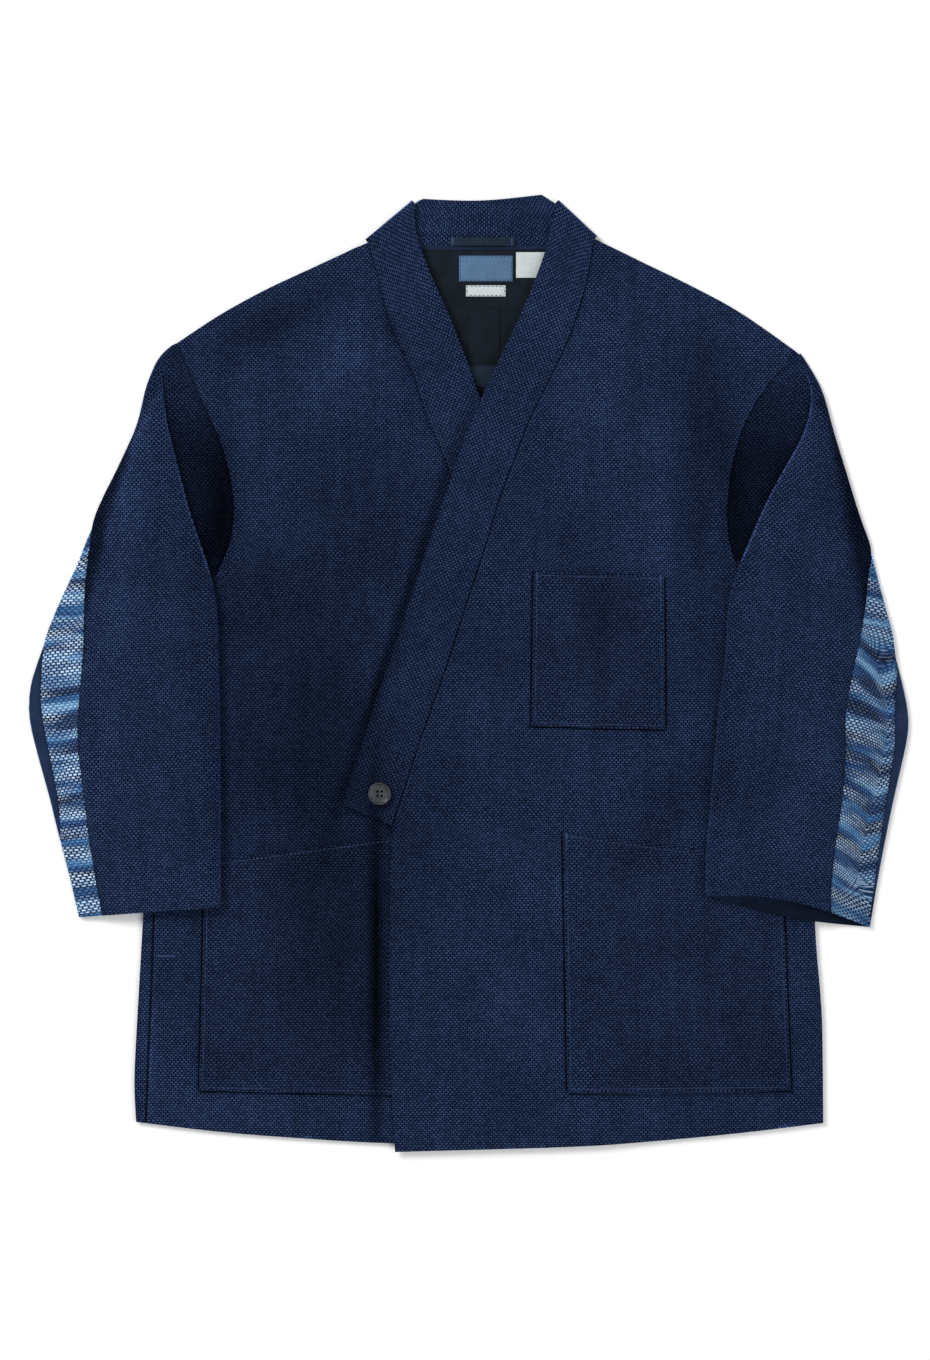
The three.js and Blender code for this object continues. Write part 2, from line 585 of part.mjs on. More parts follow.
// The nodes of one row, from the seam under the arm or at the back armhole, out under the sleeve,
// round the outer fold, back over it, round the inner fold and through the tuck to the front armhole.
function sleeveRow(keys, t, body, bow) {
  const now = rowAt(keys, t);
  const wrapped = t >= UNDERARM_ROW;
  const out = new THREE.Vector2(now.outX, now.outY);
  const fold = new THREE.Vector2(now.foldX, now.foldY);
  const length = out.distanceTo(fold);
  const outer = Math.sign(now.outX);
  const hole = wrapped
    ? fold.clone()
    : new THREE.Vector2(edgeAt(body, now.holeY) + outer * SEAM, now.holeY);
  const beyond = fold.distanceTo(hole);
  const at = (a, lower = false) => {
    const onSleeve = a <= length || !beyond;
    const [from, to] = onSleeve ? [out, fold] : [fold, hole];
    const point = from.clone().lerp(to, onSleeve ? a / length : (a - length) / beyond);
    const last = ease((t - 16) / 1);
    point.y += last * (lower ? bow.lower : bow.upper) * Math.sin(Math.PI * clamp(a / length));
    return point;
  };
  const climbs = clamp((t - LIFT_OFF) / (UNDERARM_ROW - LIFT_OFF));
  const under = (a, lower) => {
    const { x, y } = at(a, lower);
    return CLOTH / 2 + (climbs && climbs * climb(x, y, false));
  };
  const pitch = CLOTH + LAY;
  const turn = THREE.MathUtils.degToRad(now.turn);
  const tuck = now.tuck;
  const flat = now.turn === 180;
  const puff = flat ? FOLD_PUFF * (t < LIFT_OFF ? ease((t - 3) / (LIFT_OFF - 3)) : 1 - climbs) : 0;
  const level = under(length) + pitch;
  const crest = level + 2 * FOLD * (1 - Math.cos(turn)) + tuck * Math.sin(turn) + puff;
  const radius = flat ? (crest - level - pitch) / 2 : FOLD;
  const crestAt = length - radius * Math.sin(Math.min(turn, Math.PI / 2));
  const inner = Math.max(0.5 * crestAt, crestAt - tuck - 3);
  const rise = Math.max(0.1 * length, inner - 60);
  const [outerFade, innerFade] = [Math.min(34, 0.4 * length), Math.min(26, 0.3 * length)];
  const upper = (a) => {
    const { x, y } = at(a);
    const base = CLOTH / 2 + (climbs && climbs * climb(x, y, true)) + pitch;
    const ramp = ease((a - rise) / (inner - rise));
    const fade = ease(a / outerFade) * ease((crestAt - 4 - a) / innerFade);
    const loft = Math.max(0, SLEEVE_LOFT + folded(SLEEVE_FOLDS, x, y));
    return base + (crest - level) * ramp + fade * loft;
  };
  const edge = (upper(FOLD) - under(FOLD, true)) / 2;
  const quarter = (edge * Math.PI) / 2;
  const nodes = [];
  const push = (u, a, z, lower) => {
    const { x, y } = at(a, lower);
    nodes.push(node(u, x, y, z));
  };
  // The loop from its lower end, at s below 0, through the outer fold at s = 0, to the crest.
  const bottom = wrapped ? length - 1 : length + beyond;
  const reach = { low: edge - quarter - bottom, high: crestAt - edge + quarter };
  const spots = [];
  const spread = (from, to, gap, u) => {
    const count = Math.max(1, Math.ceil(Math.abs(to - from) / gap));
    for (let k = 0; k <= count; k++) spots.push({ s: mix(from, to, k / count), u: u + k / count });
  };
  const close = climbs ? Math.min(bottom - edge, CLOSE_REACH) : 0;
  if (close) spread(reach.low, reach.low + close, 10, 0);
  if (bottom - edge - close > 1) spread(reach.low + close, -quarter, 24, climbs ? 1 : 0.5);
  spread(-quarter, quarter, quarter / 2, 2);
  spread(quarter, reach.high, 17, 3);
  const placeOf = (s) => {
    const next = spots.findIndex((spot) => spot.s >= s);
    const [a, b] = [spots[Math.max(0, next - 1)], spots[Math.max(next, 1)]];
    return mix(a.u, b.u, clamp((s - a.s) / Math.max(1e-6, b.s - a.s)));
  };
  const seams = { near: now.near, far: now.near - now.strip };
  const marks = Object.values(seams).map((s) => ({ s, u: placeOf(s), seam: true }));
  const kept = spots.filter((spot, i) => {
    const end = i === 0 || i === spots.length - 1;
    const twin = i > 0 && Math.abs(spot.s - spots[i - 1].s) < 1e-6;
    const by = Math.min(...marks.map((mark) => Math.abs(mark.s - spot.s)));
    return !twin && (end || by > (Math.abs(spot.s) <= quarter + 0.01 ? 0.3 : 3));
  });
  const all = [...kept, ...(now.strip > 0 ? marks : marks.slice(0, 1))].sort((a, b) => a.s - b.s);
  for (const { s, u, seam } of all) {
    if (seam) {
      if (Math.abs(s - seams.near) < 1e-6) nodes.near = nodes.length;
      if (Math.abs(s - seams.far) < 1e-6) nodes.far = nodes.length;
    }
    if (Math.abs(s) <= quarter) {
      const angle = s / edge;
      push(u, edge - edge * Math.cos(angle), under(FOLD, true) + edge + edge * Math.sin(angle), s < 0);
    } else if (s > 0) push(u, edge + s - quarter, upper(edge + s - quarter), false);
    else push(u, edge - s - quarter, under(edge - s - quarter, true), true);
  }
  // The inner fold, the tuck and the run to the armhole.
  const arc = now.turn > 90 ? 4 : 2;
  let [a, z] = [crestAt, crest];
  if (now.turn > 0) {
    for (let k = 1; k <= arc; k++) {
      const angle = (turn * k) / arc;
      push(4 + k / arc, crestAt + radius * Math.sin(angle), crest - radius * (1 - Math.cos(angle)), false);
    }
    a = crestAt + radius * Math.sin(turn) + tuck * Math.cos(turn) + (flat ? radius : 0);
    const hanging = crest - radius * (1 - Math.cos(turn)) - tuck * Math.sin(turn);
    z = flat ? under(a) + 2 * pitch : hanging;
    if (tuck > 0) push(6, a, z, false);
    for (let k = 1; k <= arc; k++) {
      const angle = (turn * k) / arc;
      push(
        6 + k / arc,
        a + FOLD * (Math.sin(turn) - Math.sin(turn - angle)),
        z - FOLD * (Math.cos(turn - angle) - Math.cos(turn)),
        false,
      );
    }
    a += FOLD * Math.sin(turn);
  }
  const run = mix(Math.max(tuck - 1, 1), ALLOWANCE, clamp(t - UNDERARM_ROW));
  const end = wrapped ? a + run : length + beyond;
  const count = Math.max(1, Math.ceil((end - a) / 16));
  for (let k = 1; k <= count; k++) {
    const place = mix(a, end, k / count);
    push(8 + k / count, place, under(place) + pitch, false);
  }
  return nodes;
}

function sleeve(name, keys, body, bow, mirrored) {
  const rows = SLEEVE_ROWS.map((t) => sleeveRow(keys, t, body, bow));
  const spans = {
    back: (row) => row.slice(0, row.far + 1),
    strip: (row) => row.slice(row.far, row.near + 1),
    front: (row) => row.slice(row.near),
  };
  const panels = {};
  for (const [panel, span] of Object.entries(spans)) {
    panels[panel] = rows.slice(1).flatMap((row, i) => {
      const [one, other] = [span(rows[i]), span(row)];
      if (one.length < 2 || other.length < 2) return [];
      const triangles = stitch(one, other);
      return mirrored ? triangles : triangles.map(([a, b, c]) => [a, c, b]);
    });
  }
  addNormals(Object.values(panels).flat());
  // Panels stop half a seam short of their shared edge.
  const shifts = { back: new Map(), strip: new Map(), front: new Map() };
  for (const row of rows) {
    for (const [panel, span] of Object.entries(spans)) {
      const nodes = span(row);
      if (nodes.length < 2) continue;
      const towards = (from, to) => new THREE.Vector3().subVectors(to.p, from.p).setLength(SEAM / 2);
      if (panel !== "back") shifts[panel].set(nodes[0], towards(nodes[0], nodes[1]));
      if (panel !== "front") shifts[panel].set(nodes.at(-1), towards(nodes.at(-1), nodes.at(-2)));
    }
  }
  for (const [panel, triangles] of Object.entries(panels)) {
    const cloth = panel === "strip" ? STRIP : SASHIKO;
    const geometry = thicken(rows.flat(), triangles, CLOTH, (corner) => shifts[panel].get(corner));
    add(name + "_" + panel, geometry, cloth);
  }
}

sleeve("right_sleeve", RIGHT_SLEEVE, sides.right, { upper: 0, lower: 2 }, false);
sleeve("left_sleeve", LEFT_SLEEVE, sides.left, { upper: 9, lower: -5 }, true);

// --- pockets, neck and button -------------------------------------------------------------------------

for (const [name, { under, top, bottom }] of Object.entries(PATCHES)) {
  const [wide, tall] = name === "chest_pocket" ? [6, 7] : [9, 10];
  const low = along(bottom, wide);
  const high = along(top, wide);
  const side = (i) => along([low[i], high[i]], tall);
  const onFront = (x, y) => under(x, y) + CLOTH + LAY;
  add(name, layer(fill(low, high, side(0), side(wide)), onFront, CLOTH), SASHIKO);
}

// A plain strip of cloth lying level between two corners.
function patch(name, [x0, y0, x1, y1], under, thick, material) {
  const geometry = new THREE.BoxGeometry(x1 - x0, y1 - y0, thick);
  geometry.translate((x0 + x1) / 2, (y0 + y1) / 2, under + thick / 2);
  add(name, geometry, material);
}
const LINING_UNDER = CLOTH + SEAM;
const TRIM_UNDER = LINING_UNDER + PLAIN + SEAM;
patch("yoke_lining", [-80, 243, 98, 365.6], LINING_UNDER, PLAIN, LINING);
patch("neck_tape", [-1, 268, 26, 315], TRIM_UNDER, 0.6, BINDING);
patch("yoke_band", [-4, 247, 22, 265], TRIM_UNDER, 0.6, BINDING);
patch("woven_label", [-9, 338, 37, 360], TRIM_UNDER, 0.6, LABEL_BLUE);
patch("size_label", [-3, 325, 31, 334.5], TRIM_UNDER, 0.6, LABEL_WHITE);
patch("care_label", [40, 341, 66, 363], TRIM_UNDER, 0.6, LABEL_WHITE);

// The hanger loop: a tape sewn down at both ends on the back of the band.
function hangerLoop() {
  const profile = new THREE.Shape();
  const [ends, rise, thick] = [28, 2.2, 1];
  profile.moveTo(-ends, 0);
  profile.lineTo(-ends + 6, 0);
  profile.quadraticCurveTo(0, 2 * rise - 0.6, ends - 6, 0);
  profile.lineTo(ends, 0);
  profile.lineTo(ends, thick);
  profile.lineTo(ends - 6, thick);
  profile.quadraticCurveTo(0, 2 * rise - 0.6 + thick, -ends + 6, thick);
  profile.lineTo(-ends, thick);
  const geometry = new THREE.ExtrudeGeometry(profile, { depth: 7, bevelEnabled: false, curveSegments: 8 });
  geometry.rotateX(Math.PI / 2);
  geometry.translate(11, 375.5, BAND + SEAM);
  return geometry;
}
add("hanger_loop", hangerLoop(), BINDING);

// The button, a dished disc with a raised rim.
function button() {
  const profile = [[0, 0], [7.4, 0], [9.4, 1], [10, 2.3], [9.4, 3.6], [8.2, 3.8], [7, 2.7], [0, 2.3]];
  const geometry = new THREE.LatheGeometry(profile.map(([x, y]) => new THREE.Vector2(x, y)), 24);
  geometry.rotateX(Math.PI / 2);
  const spots = [-9, 0, 9].flatMap((x) => [-9, 0, 9].map((y) => [BUTTON_AT.x + x, BUTTON_AT.y + y]));
  const under = Math.max(...spots.map(([x, y]) => leftUnder(x, y)));
  geometry.translate(BUTTON_AT.x, BUTTON_AT.y, under + BAND + SEAM);
  return geometry;
}
add("button", button(), BUTTON);

export default garment;
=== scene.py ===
import math
import bmesh
import bpy
import numpy as np
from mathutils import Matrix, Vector
from mathutils.bvhtree import BVHTree


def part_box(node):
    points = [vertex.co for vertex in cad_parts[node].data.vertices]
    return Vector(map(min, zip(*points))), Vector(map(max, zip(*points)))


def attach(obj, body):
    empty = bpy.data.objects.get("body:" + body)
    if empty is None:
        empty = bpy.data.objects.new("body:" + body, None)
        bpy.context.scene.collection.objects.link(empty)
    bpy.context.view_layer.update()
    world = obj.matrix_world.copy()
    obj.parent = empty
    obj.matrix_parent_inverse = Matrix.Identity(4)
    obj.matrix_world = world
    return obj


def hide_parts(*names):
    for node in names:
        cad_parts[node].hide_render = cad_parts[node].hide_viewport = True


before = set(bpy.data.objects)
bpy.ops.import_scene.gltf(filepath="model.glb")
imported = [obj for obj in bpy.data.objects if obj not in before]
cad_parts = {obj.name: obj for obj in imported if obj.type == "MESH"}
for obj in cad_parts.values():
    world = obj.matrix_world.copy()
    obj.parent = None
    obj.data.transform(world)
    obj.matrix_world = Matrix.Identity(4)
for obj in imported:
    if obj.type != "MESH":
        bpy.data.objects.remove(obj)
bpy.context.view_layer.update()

# ---- Back panel ---------------------------------------------------------------------------------
# The back of the jacket is one wide panel of sashiko cloth, a thick cotton whose raised weft floats
# stand in staggered rows on a darker ground. It lies flat on the table, with its edges turned and
# pressed, and every other cloth piece is made with the same few steps as this one.
MM = 0.001
# An edge that turns by more than RIM_ANGLE is cut or folded cloth, and CORNER_ANGLE makes a corner.
RIM_ANGLE = math.radians(55)
CORNER_ANGLE = math.radians(35)
RIM_ROUNDING = 0.7 * MM
ROUNDED_ANGLE = math.radians(50)
SHARP_ANGLE = math.radians(42)
# A point with another piece nearer than this is sewn to it.
SEWN_WITHIN = 0.45 * MM
HOLDING_STEPS = 4
HOLDING_REACH = 4 * MM


def smooth(value, low, high):
    """0 below low and 1 above high, with soft ends."""
    part = np.clip((value - low) / (high - low), 0, 1)
    return part * part * (3 - 2 * part)


def select_only(piece):
    bpy.ops.object.select_all(action="DESELECT")
    bpy.context.view_layer.objects.active = piece
    piece.select_set(True)


def apply_modifier(piece, kind, **settings):
    """Adds a modifier with its settings and applies it to the mesh."""
    select_only(piece)
    modifier = piece.modifiers.new(kind.lower(), kind)
    for key, value in settings.items():
        setattr(modifier, key, value)
    bpy.ops.object.modifier_apply(modifier=modifier.name)


def points_of(mesh):
    """A mesh's points as an array of rows."""
    points = np.empty(len(mesh.vertices) * 3)
    mesh.vertices.foreach_get("co", points)
    return points.reshape(-1, 3)


def surface_of(mesh):
    """A mesh as a surface that rays can be cast at."""
    faces = [tuple(face.vertices) for face in mesh.polygons]
    return BVHTree.FromPolygons(points_of(mesh).tolist(), faces)


SOLIDS = {node: surface_of(cad.data) for node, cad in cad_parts.items()}


def cut_piece(node):
    """A copy of a cloth node, with its loose triangles merged into a mesh of four-sided faces.

    Points that are sewn edge to edge to a neighbour are marked.
    """
    piece = bpy.data.objects.new(node + "_cloth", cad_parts[node].data.copy())
    bpy.context.collection.objects.link(piece)
    piece.data.materials.clear()
    select_only(piece)
    bpy.ops.object.mode_set(mode="EDIT")
    bpy.ops.mesh.select_all(action="SELECT")
    bpy.ops.mesh.remove_doubles(threshold=0.01 * MM)
    bpy.ops.mesh.tris_convert_to_quads(face_threshold=math.radians(50),
                                       shape_threshold=math.radians(75))
    bpy.ops.object.mode_set(mode="OBJECT")
    while piece.data.uv_layers:
        piece.data.uv_layers.remove(piece.data.uv_layers[0])
    others = [solid for name, solid in SOLIDS.items() if name != node]
    sewn = [float(any(solid.find_nearest(point, SEWN_WITHIN)[0] for solid in others))
            for point in points_of(piece.data).tolist()]
    piece.data.attributes.new("sewn", "FLOAT", "POINT").data.foreach_set("value", sewn)
    return piece


def lay_grain(piece, place):
    """Writes the grain UV map, in metres along the weft and the warp. place turns points into it."""
    mesh = piece.data
    corners = np.empty(len(mesh.loops), dtype=int)
    mesh.loops.foreach_get("vertex_index", corners)
    grain = place(points_of(mesh))[corners]
    mesh.uv_layers.new(name="grain").data.foreach_set("uv", grain.ravel())


def straight_grain(turn):
    """Grain that runs up the garment, turned by so many degrees."""
    c, s = math.cos(math.radians(turn)), math.sin(math.radians(turn))
    return lambda p: np.column_stack([p[:, 0] * c + p[:, 1] * s, p[:, 1] * c - p[:, 0] * s])


def move_points(mesh, points):
    mesh.vertices.foreach_set("co", points.ravel())
    mesh.update()


def take_off_rims(piece):
    """Leaves the two sides of the cloth as open sheets, with their corners held sharp."""
    bm = bmesh.new()
    bm.from_mesh(piece.data)
    sides = []
    for start in bm.faces:
        if start.tag:
            continue
        start.tag = True
        side = [start]
        for face in side:
            for edge in face.edges:
                if edge.calc_face_angle(0) < RIM_ANGLE:
                    fresh = [other for other in edge.link_faces if not other.tag]
                    for other in fresh:
                        other.tag = True
                    side += fresh
        sides.append(side)
    sides.sort(key=lambda side: sum(face.calc_area() for face in side))
    under, over = [{vert for face in side for vert in face.verts} for side in sides[-2:]]
    walls = [face for face in bm.faces
             if under.intersection(face.verts) and over.intersection(face.verts)]
    bmesh.ops.delete(bm, geom=walls, context="FACES")
    held = bm.verts.layers.float.new("crease_vert")
    for vert in bm.verts:
        ways = [edge.other_vert(vert).co - vert.co for edge in vert.link_edges if edge.is_boundary]
        if len(ways) == 2 and ways[0].angle(ways[1]) < math.pi - CORNER_ANGLE:
            vert[held] = 1.0
    bm.to_mesh(piece.data)
    bm.free()


def hold_rims(piece):
    """Keeps the cut edges of a closed piece sharp while it is smoothed."""
    bm = bmesh.new()
    bm.from_mesh(piece.data)
    held = bm.edges.layers.float.new("crease_edge")
    for edge in bm.edges:
        if edge.calc_face_angle(0) > RIM_ANGLE:
            edge[held] = 1.0
    bm.to_mesh(piece.data)
    bm.free()


def hold_to_cut(piece, levels):
    """Moves the points before smoothing, so that the smoothed outline runs where it was cut."""
    cut = points_of(piece.data)
    shift = np.zeros_like(cut)
    smoothing = piece.modifiers.new("smoothing", "SUBSURF")
    smoothing.levels = smoothing.render_levels = levels
    for _ in range(HOLDING_STEPS):
        smoothed = piece.evaluated_get(bpy.context.evaluated_depsgraph_get()).to_mesh()
        shift += cut - points_of(smoothed)[:len(cut)]
        shift = np.clip(shift, -HOLDING_REACH, HOLDING_REACH)
        shift[:, 2] = 0
        move_points(piece.data, cut + shift)
    piece.modifiers.remove(smoothing)


def rim_of(bm, tagged):
    """The open edge of one of the two sheets, point by point along its faces' own way."""
    following = {}
    for edge in bm.edges:
        if edge.is_boundary and edge.link_faces[0].tag == tagged:
            loop = edge.link_loops[0]
            following[loop.vert] = loop.link_loop_next.vert
    ring = [min(following, key=lambda vert: vert.index)]
    for _ in range(len(following) - 1):
        ring.append(following[ring[-1]])
    return ring


def close_rims(piece):
    """Joins the two sheets of a piece by a wall along their edges, which takes the cloth's grain."""
    bm = bmesh.new()
    bm.from_mesh(piece.data)
    bm.faces.ensure_lookup_table()
    sheet = [bm.faces[0]]
    sheet[0].tag = True
    for face in sheet:
        for other in dict.fromkeys(other for edge in face.edges for other in edge.link_faces):
            if not other.tag:
                other.tag = True
                sheet.append(other)
    near, far = rim_of(bm, True), rim_of(bm, False)[::-1]
    places = [np.array([vert.co for vert in ring]) for ring in (near, far)]
    turned = min(range(len(far)),
                 key=lambda k: np.abs(places[0] - np.roll(places[1], -k, axis=0)).sum())
    far = far[turned:] + far[:turned]
    grain = bm.loops.layers.uv.active
    turns = {loop.vert: loop[grain].uv.copy() for face in bm.faces for loop in face.loops}
    for k in range(len(near)):
        wall = bm.faces.new((near[k], near[k - 1], far[k - 1], far[k]))
        wall.smooth = True
        for corner in wall.loops:
            corner[grain].uv = turns[corner.vert]
    bm.to_mesh(piece.data)
    bm.free()


def sew_up(piece, levels, creases=None, rounding=RIM_ROUNDING, in_two=True):
    """Smooths the cloth, rounds its edges, and lifts its points as far as creases gives for them.

    In two sheets the outline is smoothed as well. A narrow or steep piece is smoothed whole.
    """
    if in_two:
        take_off_rims(piece)
    else:
        hold_rims(piece)
    hold_to_cut(piece, levels)
    apply_modifier(piece, "SUBSURF", levels=levels, render_levels=levels)
    if in_two:
        close_rims(piece)
    apply_modifier(piece, "BEVEL", width=rounding, segments=3, limit_method="ANGLE",
                   angle_limit=ROUNDED_ANGLE, use_clamp_overlap=True)
    if creases:
        points = points_of(piece.data)
        points[:, 2] += creases(points)
        move_points(piece.data, points)
    select_only(piece)
    bpy.ops.object.shade_smooth_by_angle(angle=SHARP_ANGLE)


# How far sideways-facing free edges are lightened, as wear and painted highlight, and how far sewn
# edges, the cloth near seams and pressed grooves are darkened, as painted shade.
EDGE_WEAR_AND_HIGHLIGHT = 2.2
SEWN_EDGE_SHADE = 0.85
SEAM_SHADE = 0.26
PRESSED_SHADE = 0.8
LEAST_TONE = 0.05

# Spots of lighter tone, or darker if the amount is below 0, partly dye fade and partly painted shade:
# the dark spots at the armholes and the narrow dark lines along the left front's edge and along the
# collar's edge and seam are painted shade. Each gives the middle of the spot in mm, the way it runs
# in degrees, its reach along and across, and the amount.
FADE_AND_SHADE_SPOTS = (
    # x, y, angle, along, across, amount
    (-213, 160, 88, 60, 13, -0.55),
    (-225, 110, 60, 40, 16, -0.30),
    (226, 160, 96, 60, 12, -0.45),
    (-140, 30, 80, 140, 80, -0.44),
    (-130, -100, 0, 84, 80, -0.34),
    (-115, -240, 80, 110, 60, -0.36),
    (-95, 190, -62, 110, 34, -0.22),
    (60, 150, 60, 90, 40, -0.10),
    (-276, -310, 92, 90, 7, 0.35),
    (-118, 262, 62, 56, 20, 0.24),
    (166, 195, 88, 96, 13, 0.22),
    (-215, 60, 70, 60, 30, -0.16),
    (20, -60, 60, 90, 50, -0.08),
    (-80, -270, 90, 170, 7, -0.75),
    (-51, 77, 72, 185, 5, -0.55),
    (-170, 300, 30, 62, 20, -0.42),
    (-66, 292, -68, 34, 7, -0.45),
    (-110, 235, 60, 80, 30, 0.14),
    (120, 230, 0, 60, 60, 0.10),
    (200, 210, 84, 84, 22, -0.38),
    (178, -110, 50, 66, 24, -0.34),
    (210, 20, 90, 110, 22, -0.20),
    (112, 30, 90, 66, 15, -0.32),
    (250, -230, 90, 120, 34, -0.10),
    (20, 30, 0, 50, 70, -0.08),
    (60, -250, 90, 110, 50, 0.06),
    (-200, -372, 0, 90, 24, 0.22),
    (-290, 120, 84, 100, 12, 0.22),
    (-320, -60, 90, 110, 30, 0.10),
    (300, -100, 90, 110, 40, 0.12),
    (290, 150, 100, 60, 18, 0.10),
)


def values_of(mesh, name):
    """A point attribute's values, or zeros where the mesh has none of that name."""
    values = np.zeros(len(mesh.vertices))
    if name in mesh.attributes:
        mesh.attributes[name].data.foreach_get("value", values)
    return values


def fade_and_painted_shade(piece, tucked_shade=None):
    """Writes a tone factor at each point, part dye fade and part painted light: 1 is even, less is
    darker.

    Sideways-facing free edges are lightened, partly as wear and partly as painted highlight. Sewn
    edges, the cloth near seams, stitched grooves and pressed steps are darkened as painted shade. The
    last argument gives a factor of painted shade for cloth that lies folded away.
    """
    mesh = piece.data
    points = points_of(mesh)
    amount = np.ones(len(points))
    for at_x, at_y, angle, along, across, change in FADE_AND_SHADE_SPOTS:
        c, s = math.cos(math.radians(angle)), math.sin(math.radians(angle))
        dx, dy = points[:, 0] / MM - at_x, points[:, 1] / MM - at_y
        run, off = dx * c + dy * s, dy * c - dx * s
        amount += change * np.exp(-((run / along) ** 2) - (off / across) ** 2)
    facing = np.empty(len(points) * 3)
    mesh.vertex_normals.foreach_get("vector", facing)
    upward = facing[2::3]
    edge = (1 - smooth(np.abs(upward), 0.55, 0.97)) * (upward > -0.3)
    sewn = smooth(values_of(mesh, "sewn"), 0.6, 0.9)
    # Painted shade on the cloth near seams.
    amount -= SEAM_SHADE * smooth(values_of(mesh, "sewn"), 0.7, 1.0)
    # Sideways-facing rims: lightened where free, as wear and painted highlight, and darkened where
    # sewn, as painted shade.
    amount += edge * (EDGE_WEAR_AND_HIGHLIGHT * (1 - sewn) - SEWN_EDGE_SHADE * sewn)
    # Painted shade on the floor of pressed grooves and steps.
    amount *= 1 - PRESSED_SHADE * values_of(mesh, "pressed_shade")
    # Painted shade of cloth that lies folded away.
    if tucked_shade is not None:
        amount *= tucked_shade(points)
    amount = np.maximum(amount, LEAST_TONE)
    mesh.attributes.new("fade_and_painted_shade", "FLOAT", "POINT").data.foreach_set("value", amount)


def linear(code):
    """An sRGB hex colour as linear RGBA."""
    parts = [int(code[i:i + 2], 16) / 255 for i in (1, 3, 5)]
    return tuple(c / 12.92 if c <= 0.04045 else ((c + 0.055) / 1.055) ** 2.4 for c in parts) + (1.0,)


def add_node(tree, kind, values=None, links=None, **settings):
    """One shader node with its settings, its sockets' values and its links, from sockets or nodes."""
    made = tree.nodes.new("ShaderNode" + kind)
    for key, value in settings.items():
        setattr(made, key, value)
    for socket, value in (values or {}).items():
        made.inputs[socket].default_value = value
    for socket, source in (links or {}).items():
        if isinstance(source, bpy.types.Node):
            source = source.outputs[0]
        tree.links.new(source, made.inputs[socket])
    return made


def new_material(name):
    """An empty node material with its output."""
    material = bpy.data.materials.new(name)
    material.use_nodes = True
    material.node_tree.nodes.clear()
    return material, material.node_tree, material.node_tree.nodes.new("ShaderNodeOutputMaterial")


IN_MM = {"Scale": (1000, 1000, 1000)}
FLOAT_PITCH = 3.6
FLOAT_ROW = 1.95


def cotton_sashiko(name, ground, float_thread):
    """Indigo cotton woven with raised weft floats: dull, with light dots on a nearly black ground.

    The floats stand 3.6 mm apart in rows of 1.95 mm, each row set half a step over. Broad and
    streaky fading follows the warp, as garment-washed indigo fades.
    """
    material, tree, output = new_material(name)
    grain = add_node(tree, "UVMap", uv_map="grain")
    in_mm = add_node(tree, "Mapping", IN_MM, {"Vector": grain})
    slip = add_node(tree, "TexNoise", {"Scale": 0.16, "Detail": 3}, {"Vector": in_mm})
    centred = add_node(tree, "VectorMath", {1: (0.5, 0.5, 0.5)}, {0: slip.outputs["Color"]},
                       operation="SUBTRACT")
    loose = add_node(tree, "VectorMath", {1: (2.2, 1.6, 0)},
                     {0: centred, 2: in_mm}, operation="MULTIPLY_ADD")
    rows = add_node(tree, "Mapping", {"Scale": (FLOAT_ROW / FLOAT_PITCH, 1, 1)}, {"Vector": loose})
    floats = add_node(
        tree, "TexBrick",
        {"Color1": (1, 1, 1, 1), "Color2": (0.45, 0.45, 0.45, 1), "Mortar": (0, 0, 0, 1), "Scale": 1.0,
         "Mortar Size": 0.42, "Mortar Smooth": 0.6, "Bias": -0.2,
         "Brick Width": FLOAT_ROW, "Row Height": FLOAT_ROW},
        {"Vector": rows}, offset=0.5, offset_frequency=2)
    patches = add_node(tree, "TexNoise", {"Scale": 0.014, "Detail": 3, "Roughness": 0.6},
                       {"Vector": in_mm})
    warp_way = add_node(tree, "Mapping", {"Scale": (0.11, 0.006, 1)}, {"Vector": in_mm})
    streaks = add_node(tree, "TexNoise", {"Scale": 1, "Detail": 3}, {"Vector": warp_way})
    broad = add_node(tree, "MapRange", {1: 0.3, 2: 0.7, 3: 0.80, 4: 1.20}, {0: patches})
    streaky = add_node(tree, "MapRange", {1: 0.3, 2: 0.7, 3: 0.90, 4: 1.10}, {0: streaks})
    # Dye fade and painted shade, as written on each piece.
    fade_and_shade = add_node(tree, "Attribute", attribute_name="fade_and_painted_shade")
    fade = add_node(tree, "Math", {}, {0: broad, 1: streaky}, operation="MULTIPLY")
    tone = add_node(tree, "Math", {}, {0: fade, 1: fade_and_shade.outputs["Fac"]}, operation="MULTIPLY")
    woven = add_node(tree, "Mix", {6: linear(ground), 7: linear(float_thread)},
                     {0: floats.outputs["Color"]}, data_type="RGBA")
    colour = add_node(tree, "VectorMath", {}, {0: woven.outputs[2], 3: tone}, operation="SCALE")
    bump = add_node(tree, "Bump", {"Strength": 0.7, "Distance": 0.4 * MM},
                    {"Height": floats.outputs["Color"]})
    cloth = add_node(tree, "BsdfPrincipled",
                     {"Roughness": 0.95, "Specular IOR Level": 0.02},
                     {"Base Color": colour, "Normal": bump})
    tree.links.new(cloth.outputs[0], output.inputs[0])
    return material


def finish_cloth(piece, node, material):
    """Gives a cloth piece its material, hangs it on the root, and hides the node it stands for."""
    piece.data.materials.append(material)
    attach(piece, "root")
    if node:
        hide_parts(node)


sashiko = cotton_sashiko("indigo_sashiko_cotton", "#030610", "#2d3e62")
back = cut_piece("back")
lay_grain(back, straight_grain(0))
sew_up(back, 2)
fade_and_painted_shade(back)
finish_cloth(back, "back", sashiko)

# ---- Fronts -------------------------------------------------------------------------------------
# The two fronts are panels of the same cloth. The wearer's left one laps over the right one, and
# both float a little over the back, with broad soft folds where the cloth has been laid by hand.
BACK_TOP = 1.9 * MM
CREASE_LIMIT = 1.9
